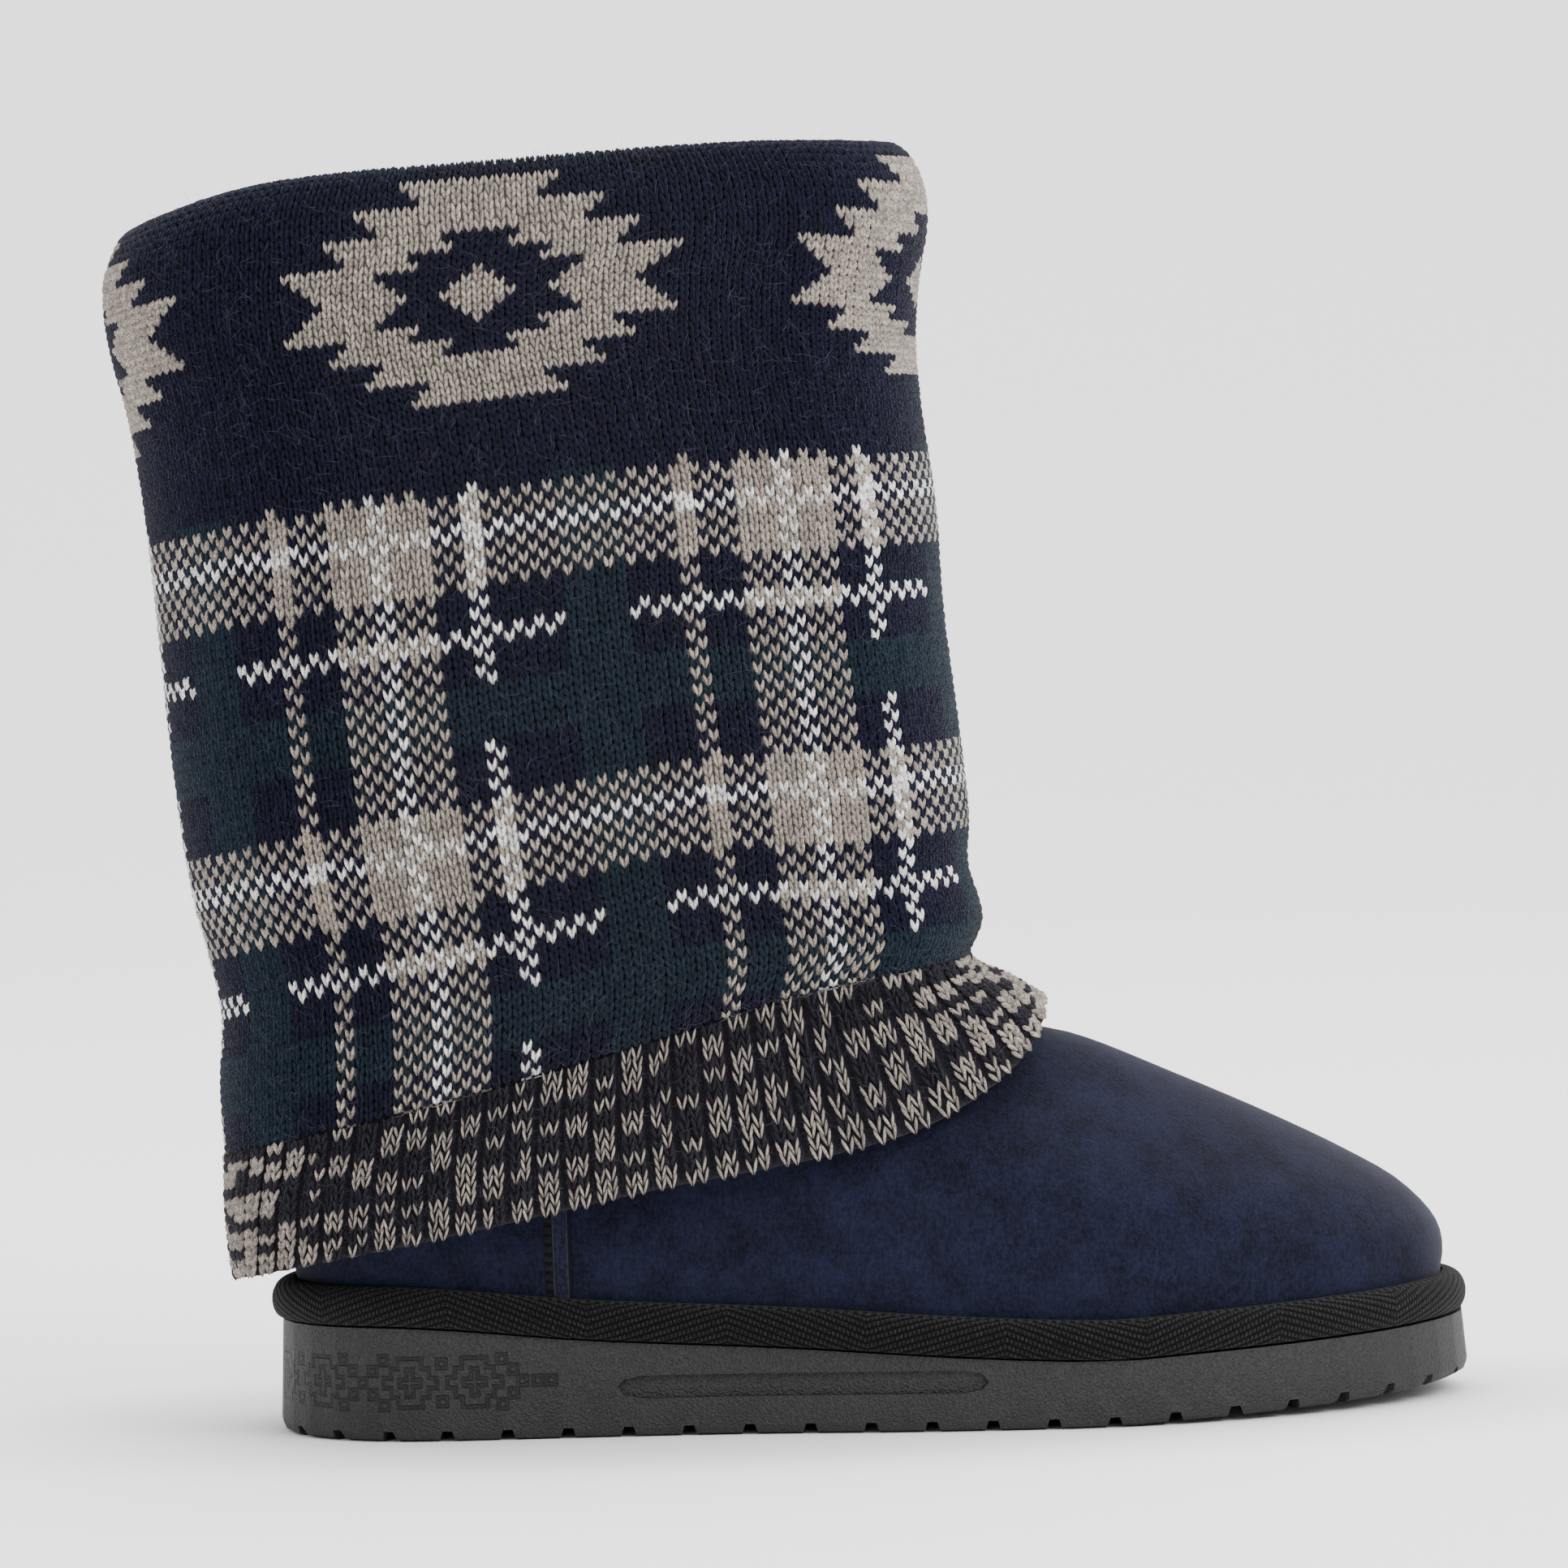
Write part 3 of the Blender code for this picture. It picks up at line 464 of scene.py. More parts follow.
class Foot:
    """Surfaces of the sole and the foot."""

    def __init__(self, sizes):
        self.sizes = sizes

    def sole_bottom(self, x):
        lift = through(column(SOLE_SIDE, 0), column(SOLE_SIDE, 4), np.asarray(x) / self.sizes.sole_length)
        return self.sizes.toe_spring * np.maximum(lift, 0)

    def sole_top(self, x):
        thickness = (
            column(SOLE_SIDE, 1) * self.sizes.heel_thickness
            + column(SOLE_SIDE, 2) * self.sizes.shank_thickness
            + column(SOLE_SIDE, 3) * self.sizes.ball_thickness
        )
        return self.sole_bottom(x) + through(
            column(SOLE_SIDE, 0), thickness, np.asarray(x) / self.sizes.sole_length
        )

    def widths(self, heel=1.0, waist=1.0, ball=1.0):
        return (
            column(SOLE_PLAN, 1) * self.sizes.heel_width * heel
            + column(SOLE_PLAN, 2) * self.sizes.waist_width * waist
            + column(SOLE_PLAN, 3) * self.sizes.ball_width * ball
        )

    def side(self, back, front, widths, nose, fullness):
        """Half outline of a foot-shaped ring: x, centre line and half width, from back to front."""
        sole = self.sizes.sole_length
        turn = np.linspace(0, math.pi, OUTLINE_POINTS)
        x = back + (front - back) * (1 - np.cos(turn)) / 2
        half = through(column(SOLE_PLAN, 0), widths, x / sole) / 2
        half = half * rounded(x - back, HEEL_ROUND * sole, END_FULLNESS)
        half = half * rounded(front - x, nose, fullness)
        shift = self.sizes.toe_swing * through(column(SOLE_PLAN, 0), column(SOLE_PLAN, 4), x / sole)
        return x, shift, half

    def sole_outline(self):
        sole = self.sizes.sole_length
        return self.side(0.0, sole, self.widths(), TOE_ROUND * sole, END_FULLNESS)

    def ring(self, row, columns):
        """A closed ring, its first point repeated at the end."""
        back, front, nose, fullness, heel, waist, ball = row[:7]
        sole = self.sizes.sole_length
        x, centre, half = self.side(
            back * sole, front * sole, self.widths(heel, waist, ball), nose * sole, fullness
        )
        along = (x - x[0]) / (x[-1] - x[0])
        z = through_level([self.sizes.instep_height * high for high in row[7:10]], along)
        if row[10]:
            z = z + self.sizes.clearance + self.sole_top(x)
        outer, inner = (np.column_stack([x, y, z]) for y in (centre - half, centre + half))
        return closed_ring(outer, inner, columns)


def closed(outer, inner):
    """A ring of its two sides: to the front on the outer side, and back on the inner one."""
    return np.concatenate([outer, inner[-2::-1]])


def closed_ring(outer, inner, columns):
    """A ring of its two sides, each read at even steps."""
    halves = []
    for half in (outer, inner):
        gone = walked(*half.T)
        halves.append(points_at(half, gone, np.linspace(0, gone[-1], columns // 2 + 1)))
    return closed(*halves)


class Sleeve:
    """Surfaces of the sleeve."""

    def __init__(self, sizes, foot_sizes):
        self.sizes = sizes
        self.foot = foot_sizes

    def ring(self, number, columns, inset=0.0, heights=None, drop=0.0):
        sizes = self.sizes
        if number < len(HEM_RINGS):
            back, front, wide, fullness, *high = HEM_RINGS[number]
            unit, base, tall = self.foot.sole_length, 0.0, self.foot.instep_height
        else:
            back, front, wide, fullness, *high = SHAFT_RINGS[number - len(HEM_RINGS)]
            unit, base, tall = sizes.shaft_depth, self.foot.instep_height, sizes.shaft_height
        high = [base + tall * value - drop for value in heights or high]
        turn = np.linspace(0, math.pi, OUTLINE_POINTS)
        reach = np.sign(np.cos(turn)) * np.abs(np.cos(turn)) ** (2 / fullness)
        x = (back + front) / 2 * unit - ((front - back) / 2 * unit - inset) * reach
        y = (wide * sizes.shaft_width / 2 - inset) * np.sin(turn) ** (2 / fullness)
        gone = walked(x, y)
        z = through_level(high, gone / gone[-1])
        return closed_ring(np.column_stack([x, -y, z]), np.column_stack([x, y, z]), columns)

    def rings(self, columns):
        """The outer face from the hem's edge over the crest and down inside, and the crest's ring number."""
        last = len(HEM_RINGS) + len(SHAFT_RINGS) - 1
        rings = [self.ring(number, columns) for number in range(last + 1)]
        for inset, down in COLLAR_ROLL:
            inward, drop = inset * self.sizes.fold_width, down * self.sizes.fold_drop
            rings.append(self.ring(last, columns, inward, CREST, drop))
        crest = last + 1 + [down for _, down in COLLAR_ROLL].index(0.0)
        rings += [self.ring(number, columns, self.sizes.fold_width) for number in (last - 1, last - 2)]
        return np.array(rings), crest


def dense(rings, step):
    """Rings through the given ones at about this spacing, and the place of each given ring among them."""
    apart = np.linalg.norm(np.diff(rings, axis=0), axis=2).mean(axis=1)
    knots = np.concatenate([[0], np.cumsum(apart)])
    at = np.linspace(0, knots[-1], int(knots[-1] / step) + 2)
    return through(knots, rings, at), knots, at


def outward(rings):
    """Unit normals of a surface of closed rings, pointing out."""
    along = np.gradient(rings, axis=0)
    around = np.empty_like(rings)
    around[:, 1:-1] = rings[:, 2:] - rings[:, :-2]
    around[:, 0] = around[:, -1] = rings[:, 1] - rings[:, -2]
    normals = np.cross(around, along)
    return normals / np.maximum(np.linalg.norm(normals, axis=2, keepdims=True), 1e-9)


def place(points):
    """Moves points from the drawing to the frame."""
    return points + ORIGIN


def linked(name, data):
    made = bpy.data.objects.new(name, data)
    bpy.context.scene.collection.objects.link(made)
    return made


def add_object(name, data, material, body="root"):
    data.materials.append(material)
    made = linked(name, data)
    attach(made, body)
    return made


def joined(mesh, name, smooth_angle=180):
    """The mesh of a bmesh, with its doubles merged and its faces outward."""
    bmesh.ops.remove_doubles(mesh, verts=mesh.verts, dist=1e-6)
    bmesh.ops.recalc_face_normals(mesh, faces=mesh.faces)
    data = bpy.data.meshes.new(name)
    mesh.to_mesh(data)
    mesh.free()
    if "custom_normal" in data.attributes:
        data.attributes.remove(data.attributes["custom_normal"])
    data.shade_smooth()
    if smooth_angle < 180:
        data.set_sharp_from_angle(angle=math.radians(smooth_angle))
    return data


def sheet(name, rings, material, layout=None, smooth_angle=180):
    """A closed surface through rings whose last point repeats the first. layout holds a length for each point
    along the ring and across it, for the piece's own UV map."""
    rows, columns = rings.shape[:2]
    mesh = bmesh.new()
    bmesh.ops.create_grid(mesh, x_segments=columns - 1, y_segments=rows - 1, size=1)
    mesh.verts.ensure_lookup_table()
    for vert, spot in zip(mesh.verts, place(rings).reshape(-1, 3)):
        vert.co = spot
    if layout is not None:
        mesh.verts.index_update()
        flat = layout.reshape(-1, 2)
        layer = mesh.loops.layers.uv.new("lengths")
        for face in mesh.faces:
            for loop in face.loops:
                loop[layer].uv = flat[loop.vert.index]
    return add_object(name, joined(mesh, name, smooth_angle), material)


def add_wall(made, thickness, inner_slot=0):
    wall = made.modifiers.new("Wall", "SOLIDIFY")
    wall.thickness = thickness
    wall.offset = -1
    wall.use_even_offset = True
    wall.use_rim = True
    wall.material_offset = inner_slot
    wall.material_offset_rim = inner_slot


def merged_copy(node, name, material, smooth_angle):
    """A joined copy of a CAD node, to carry its looks."""
    mesh = bmesh.new()
    mesh.from_mesh(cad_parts[node].data)
    made = add_object(name, joined(mesh, name, smooth_angle), material)
    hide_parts(node)
    return made


class Value:
    """A number in a shader: sums on it add Math nodes."""

    def __init__(self, paint, socket):
        self.paint = paint
        self.socket = socket

    def maths(self, operation, *others):
        return self.paint.maths(operation, self, *others)

    __abs__ = partialmethod(maths, "ABSOLUTE")
    __add__ = __radd__ = partialmethod(maths, "ADD")
    __sub__ = partialmethod(maths, "SUBTRACT")
    __mul__ = __rmul__ = partialmethod(maths, "MULTIPLY")
    __truediv__ = partialmethod(maths, "DIVIDE")
    __lt__ = partialmethod(maths, "LESS_THAN")
    max = partialmethod(maths, "MAXIMUM")
    min = partialmethod(maths, "MINIMUM")

    def __rsub__(self, other):
        return self.paint.maths("SUBTRACT", other, self)

    def wrap(self, period):
        """This value in a repeat from minus half to half of the period."""
        return self.maths("WRAP", period / 2, -period / 2)

    def band(self, low, high, soft):
        """1 between low and high, falling to 0 over a soft edge outside."""
        rise = self.ramp(low - soft, low)
        return rise * (1 - self.ramp(high, high + soft))

    def ramp(self, low, high):
        """0 up to low, 1 from high, and smooth between."""
        node = self.paint.node(
            "ShaderNodeMapRange",
            {"interpolation_type": "SMOOTHSTEP"},
            {"Value": self, "From Min": low, "From Max": high},
        )
        return Value(self.paint, node.outputs[0])


class Paint:
    """A material and the nodes that feed it."""

    def __init__(self, name, **constants):
        self.material = bpy.data.materials.new(name)
        self.material.use_nodes = True
        self.tree = self.material.node_tree
        self.shader = self.tree.nodes["Principled BSDF"]
        for socket in self.shader.inputs:
            key = socket.name.lower().replace(" ", "_")
            if key in constants:
                socket.default_value = constants.pop(key)
        if constants:
            raise KeyError(f"no sockets {sorted(constants)}")

    def feed(self, socket, value):
        if isinstance(value, Value):
            self.tree.links.new(value.socket, socket)
        elif isinstance(value, bpy.types.NodeSocket):
            self.tree.links.new(value, socket)
        else:
            socket.default_value = value

    def maths(self, operation, *values):
        node = self.node("ShaderNodeMath", {"operation": operation}, enumerate(values))
        return Value(self, node.outputs[0])

    def node(self, kind, settings=(), inputs=()):
        made = self.tree.nodes.new(kind)
        for key, value in dict(settings).items():
            setattr(made, key, value)
        for key, value in dict(inputs).items():
            self.feed(made.inputs[key], value)
        return made

    def coordinates(self):
        return self.node("ShaderNodeTexCoord").outputs["Object"]

    def axes(self, vector):
        parts = self.node("ShaderNodeSeparateXYZ", inputs={"Vector": vector})
        return [Value(self, output) for output in parts.outputs]

    def lengths(self):
        """Along and across from the piece's own UV map."""
        return self.axes(self.node("ShaderNodeUVMap", {"uv_map": "lengths"}).outputs[0])[:2]

    def attribute(self, name, output="Color"):
        return self.node("ShaderNodeAttribute", {"attribute_name": name}).outputs[output]

    def noise(self, scale, detail=2.0, roughness=0.5, stretch=None):
        vector = self.coordinates()
        if stretch:
            vector = self.node("ShaderNodeMapping", inputs={"Vector": vector, "Scale": stretch}).outputs[0]
        inputs = {"Vector": vector, "Scale": scale, "Detail": detail, "Roughness": roughness}
        return Value(self, self.node("ShaderNodeTexNoise", inputs=inputs).outputs["Fac"])

    def mix(self, factor, first, second, blend="MIX"):
        settings = {"data_type": "RGBA", "blend_type": blend}
        return self.node("ShaderNodeMix", settings, {0: factor, 6: first, 7: second}).outputs[2]

    def shade(self, colour, factor):
        """The colour times a number."""
        grey = self.node("ShaderNodeCombineColor", inputs={channel: factor for channel in range(3)})
        return self.mix(1.0, colour, grey.outputs[0], "MULTIPLY")

    def base(self, value):
        self.feed(self.shader.inputs["Base Color"], value)

    def bump(self, height, distance):
        """Height is a share of the distance."""
        made = self.node("ShaderNodeBump", inputs={"Height": height, "Distance": distance})
        normal = self.shader.inputs["Normal"]
        if normal.is_linked:
            self.tree.links.new(normal.links[0].from_socket, made.inputs["Normal"])
        self.tree.links.new(made.outputs[0], normal)


def yarn_paint(name):
    paint = Paint(name, roughness=0.95, sheen_weight=0.12, sheen_roughness=0.45, specular_ior_level=0.10)
    fibres = paint.noise(2600, 2, 0.65)
    strands = paint.noise(3600, 1, 0.5)
    clumps = paint.noise(420, 2, 0.5)
    tone = 0.30 + 1.05 * fibres.ramp(0.32, 0.68) + 0.40 * clumps
    cloth = paint.shade(paint.attribute("yarn"), tone)
    paint.base(paint.mix(strands.ramp(0.60, 0.72) * 0.30, cloth, YARN_STRANDS))
    paint.bump(fibres, 0.0003)
    return paint.material


def suede_paint(sizes):
    paint = Paint("suede", roughness=0.92, sheen_weight=0.10, sheen_roughness=0.4, specular_ior_level=0.12)
    x, _, z = paint.axes(paint.coordinates())
    blotches = paint.noise(95, 5, 0.68)
    broad = paint.noise(26, 2, 0.5)
    nap = paint.noise(1400, 3, 0.7, stretch=(1, 1, 0.60))
    fine = paint.noise(3000, 2, 0.6)
    patches = 0.58 * blotches.ramp(0.34, 0.66) + 0.20 * broad.ramp(0.35, 0.65)
    tone = 0.04 + patches + 0.76 * nap.ramp(0.36, 0.64) + 0.45 * fine.ramp(0.32, 0.70)
    cloth = paint.shade(SUEDE, tone)
    off = x - (sizes.seam_place + float(ORIGIN[0]))
    channel, strip, groove = (off.band(*span) for span in (SEAM_CHANNEL, SEAM_STRIP, SEAM_GROOVE))
    stitched = (abs((z / SEAM_STITCH).wrap(1.0)) < 0.30) * channel
    # The channel and the groove beside the raised strip are darkened as painted shade, and the strip is
    # lightened as painted highlight.
    cloth = paint.mix(channel * 0.92, cloth, SUEDE_CHANNEL_PAINTED_SHADE)
    cloth = paint.mix(stitched * fine.ramp(0.35, 0.60) * 0.45, cloth, SUEDE_STITCHES)
    cloth = paint.mix(strip * 0.40, cloth, paint.shade(SUEDE_STRIP_PAINTED_HIGHLIGHT, tone))
    cloth = paint.mix(groove * 0.70, cloth, SUEDE_GROOVE_PAINTED_SHADE)
    paint.base(cloth)
    paint.bump(nap * 0.5 + fine * 0.5, 0.00022)
    paint.bump(1 - channel.max(groove * 0.6) + stitched * 0.5 + strip * 0.6, 0.0008)
    return paint.material


def fleece_paint():
    paint = Paint("fleece", roughness=1.0, sheen_weight=0.4, specular_ior_level=0.1)
    curls = paint.noise(420, 4, 0.6)
    paint.base(paint.shade(FLEECE, 0.45 + 1.05 * curls))
    paint.bump(curls, 0.0018)
    return paint.material


def tape_paint():
    """Coarse herringbone: rows of short strands that slant one way and then the other, lightened as painted
    highlight over gaps darkened as painted shade.
    """
    paint = Paint("tape", roughness=0.9, sheen_weight=0.04, specular_ior_level=0.12)
    along, across = paint.lengths()
    slant = abs((along / TAPE_REPEAT).wrap(1.0)) * (TAPE_REPEAT * TAPE_SLOPE)
    rows = (across + slant) / TAPE_ROW
    line = 1 - abs(rows.wrap(1.0)) * 2
    dash = 1 - abs((along / TAPE_DASH + rows.maths("ROUND") * 0.5).wrap(1.0)) * 2
    knots = 1 - abs((along / TAPE_KNOT).wrap(1.0)) * 2
    edge = across.band(*TAPE_EDGE, 0.0003)
    fuzz = paint.noise(3000, 2, 0.6)
    threads_and_highlights = (line.ramp(0.15, 0.75) * dash.ramp(0.10, 0.70)) * (1 - edge) + knots.ramp(0.35, 0.65) * edge
    # The raised strands are lightened as painted highlight, and the gaps between them darkened as painted
    # shade.
    tone = 0.12 + 9.0 * threads_and_highlights * fuzz.ramp(0.30, 0.75)
    paint.base(paint.shade(TAPE, tone))
    paint.bump(line.ramp(0.0, 1.0) * 0.5 + threads_and_highlights * 0.5, 0.00045)
    paint.bump(fuzz, 0.00012)
    return paint.material


def boxes_line(dx, dz, boxes):
    """Line along the edge of a union of boxes about the same centre."""
    away = None
    for wide, high in boxes:
        one = (dx - wide).max(dz - high)
        away = one if away is None else away.min(one)
    return 1 - abs(away).ramp(FIGURE_LINE, FIGURE_LINE * 2)


def heel_figures(along, up):
    """Sunk lines of the stepped crosses and squares round the heel, along from its back."""
    dz = abs(up)
    dx = None
    for at in CROSS_PLACES:
        one = abs(along - at)
        dx = one if dx is None else dx.min(one)
    total = boxes_line(dx, dz, CROSS_STEPS).max(boxes_line(dx, dz, PLUS_STEPS))
    for at, high in SQUARE_PLACES:
        total = total.max(boxes_line(abs(along - at), abs(dz - high), SQUARE))
    return total


def rubber_paint():
    paint = Paint("rubber", roughness=0.58, specular_ior_level=0.35)
    _, _, z = paint.axes(paint.coordinates())
    run, side = (Value(paint, paint.attribute(name, "Fac")) for name in ("run", "side"))
    grain_and_painted_glints = paint.noise(2100, 3, 0.62)
    cells = paint.node("ShaderNodeTexVoronoi", inputs={"Vector": paint.coordinates(), "Scale": 1700.0})
    pebble = Value(paint, cells.outputs["Distance"])
    broad = paint.noise(60, 3, 0.6)
    sunk = heel_figures(run, z - FIGURE_HEIGHT) * side
    # Its light flecks are the rubber's texture, and also stand in for the pebble's glints as painted
    # highlight.
    tone = 0.50 + 0.35 * broad + 0.95 * grain_and_painted_glints.ramp(0.42, 0.72)
    grained = paint.shade(RUBBER, tone)
    # The sunk figures are darkened as painted shade.
    paint.base(paint.mix(sunk * 0.90, grained, RUBBER_FIGURES_PAINTED_SHADE))
    paint.bump(pebble.ramp(0.0, 0.7) * 0.7 + grain_and_painted_glints * 0.5, 0.00030)
    paint.bump(1 - sunk, 0.0007)
    return paint.material


def yarn_of(wale, row):
    """Number of the yarn in a stitch of the sleeve: navy, beige, white, green."""
    navy, beige, white, green = range(4)
    if row > PLAID_LAST:
        across = abs((wale - MOTIF_WALE + MOTIF_PERIOD / 2) % MOTIF_PERIOD - MOTIF_PERIOD / 2)
        up = abs(row - MOTIF_ROW)
        if up >= len(MOTIF_ROWS):
            return navy
        outer, inner = MOTIF_ROWS[up]
        return beige if inner < across <= outer or across + up <= MOTIF_CORE else navy
    u = (wale - PLAID_ORIGIN) % PLAID_WALES
    v = row % PLAID_ROWS

    def within(value, span):
        return span[0] <= value < span[1]

    even = (wale + row) % 2 == 0
    ground = green if within(v, GREEN_ROWS) or within(u, GREEN_STRIPE) else navy
    if within(v, BIRDSEYE_ROWS):
        bright = white if within(v, BIRDSEYE_CENTRE) else beige
        if within(u, BLOCK):
            if within(u, BLOCK_CENTRE) and even or within(v, BIRDSEYE_CENTRE) and even:
                return white
            return beige if row < PLAID_LAST or even else ground
        if within(u, WHITE_STRIPE):
            return white if even else bright
        if within(u, THIN_STRIPE):
            return bright
        return bright if even else ground
    if within(v, DASH_ROWS):
        if within(u, BLOCK):
            return white if even else beige
        if within(u, GREEN_STRIPE):
            return ground
        return white if even else ground
    if within(u, BLOCK) and even:
        return white if within(u, BLOCK_CENTRE) else beige
    if within(u, THIN_STRIPE) and even:
        return beige
    if within(u, WHITE_STRIPE) and even and not within(v, GREEN_ROWS):
        return white
    return ground


def legs(cells, rise, tilt, leg):
    """Points and faces of two stitch legs in each cell. A cell is its centre, its vector across one wale, its
    vector up one row and its normal, and tilt shifts it across and up, in wales and rows."""
    centre, across, up, normal = cells
    points = []
    for sign in (-1, 1):
        for a, b, wide, high in leg:
            spots = ((0, high),) if wide == 0 else ((-wide, LEG_EDGE), (0, high), (wide, LEG_EDGE))
            for off, lift in spots:
                a_at = sign * (a + off) + tilt[:, :1]
                b_at = b - off * LEG_SLANT + tilt[:, 1:2]
                points.append(centre + across * a_at + up * b_at + normal * (lift * rise + tilt[:, 2:3]))
    points = np.stack(points, axis=1)
    one = np.array(LEG_FACES)
    both = np.concatenate([one[:, ::-1], one + one.max() + 1])
    faces = both + (np.arange(len(centre)) * points.shape[1])[:, None, None]
    return points.reshape(-1, 3), faces.reshape(-1, 3)


def painted_leg_shades(leg):
    """Painted shade at each point of a leg, in the order of its points: darker at its foot, its top and its
    sides.
    """
    shades = []
    for (_, _, wide, _), shade in zip(leg, LEG_PAINTED_SHADES):
        shades += [shade] if wide == 0 else [shade * SIDE_PAINTED_SHADE, shade, shade * SIDE_PAINTED_SHADE]
    return np.array(shades)


def yarn_layer(data, domain, tints):
    opaque = np.ones((tints.size // 3, 4), np.float32)
    opaque[:, :3] = tints.reshape(-1, 3)
    data.color_attributes.new("yarn", "FLOAT_COLOR", domain).data.foreach_set("color", opaque.ravel())


def smooth_object(name, points, faces, material):
    data = bpy.data.meshes.new(name)
    data.from_pydata(place(points), [], faces)
    data.shade_smooth()
    data.update()
    return add_object(name, data, material)


def stitch_object(name, cells, rise, colours, tilt, material, leg=STITCH_LEG):
    """Joined stitches, with a colour for each leg, darkened towards its ends and sides as painted shade."""
    made = smooth_object(name, *legs(cells, rise, tilt, leg), material)
    yarn_layer(made.data, "POINT", colours.reshape(-1, 1, 3) * painted_leg_shades(leg)[None, :, None])
    return made


def climbed(rings):
    """Distance up each column from the first ring."""
    steps = np.linalg.norm(np.diff(rings, axis=0), axis=2)
    return np.concatenate([np.zeros((1, rings.shape[1])), np.cumsum(steps, axis=0)])


def straightened(ring, guide):
    """The ring with its points moved along it, so that columns rise straight to the guide and spread only
    towards the front."""
    middle = len(ring) // 2
    halves = []
    sides = (slice(0, middle + 1), slice(None, middle - 1, -1))
    for half, other in ((ring[side], guide[side]) for side in sides):
        gone, wanted = walked(*half.T), walked(*other.T)[-1]
        even = np.linspace(0, 1, len(half))
        halves.append(points_at(half, gone, wanted * even + (gone[-1] - wanted) * even**HEM_FAN))
    return closed(*halves)


def loose_fibres(rng, grid, count, longest):
    """Points and faces of thin curved ribbons that lie loosely on a surface of closed rings."""
    row = rng.integers(1, grid.shape[0] - 3, count)
    spot = rng.integers(1, grid.shape[1] - 2, count)
    up = grid[row + 2, spot] - grid[row, spot]
    up = up / np.linalg.norm(up, axis=1, keepdims=True)
    out = outward(grid)[row, spot]
    side = np.cross(out, up)
    turn = rng.uniform(0, 2 * math.pi, (count, 1))
    heading = up * np.cos(turn) + side * np.sin(turn)
    bend = (side * np.cos(turn) - up * np.sin(turn)) * rng.normal(0, FIBRE_BEND, (count, 1))
    root = grid[row, spot] + (grid[row + 1, spot + 1] - grid[row, spot]) * rng.random((count, 1))
    reach = longest * rng.uniform(FIBRE_SHORTEST, 1.0, (count, 1))
    rise = rng.uniform(*FIBRE_RISE, (count, 1))
    points = []
    for share, wide in FIBRE:
        middle = root + (heading * share + bend * share**2) * reach
        middle += out * (FIBRE_ROOT + rise * share * (FIBRE_ARCH - share))
        half = np.cross(out, heading) * (wide * FIBRE_WIDTH / 2)
        points += [middle - half, middle + half]
    points = np.stack(points, axis=1)
    one = [(2 * k, 2 * k + 1, 2 * k + 3, 2 * k + 2) for k in range(len(FIBRE) - 1)]
    faces = np.array(one)[None] + (np.arange(count) * 2 * len(FIBRE))[:, None, None]
    return points.reshape(-1, 3), faces.reshape(-1, 4)


def fibre_object(name, points, faces, colour):
    paint = Paint(name, roughness=1.0, specular_ior_level=0.1)
    paint.base((*colour, 1))
    made = smooth_object(name, points, faces, paint.material)
    return made


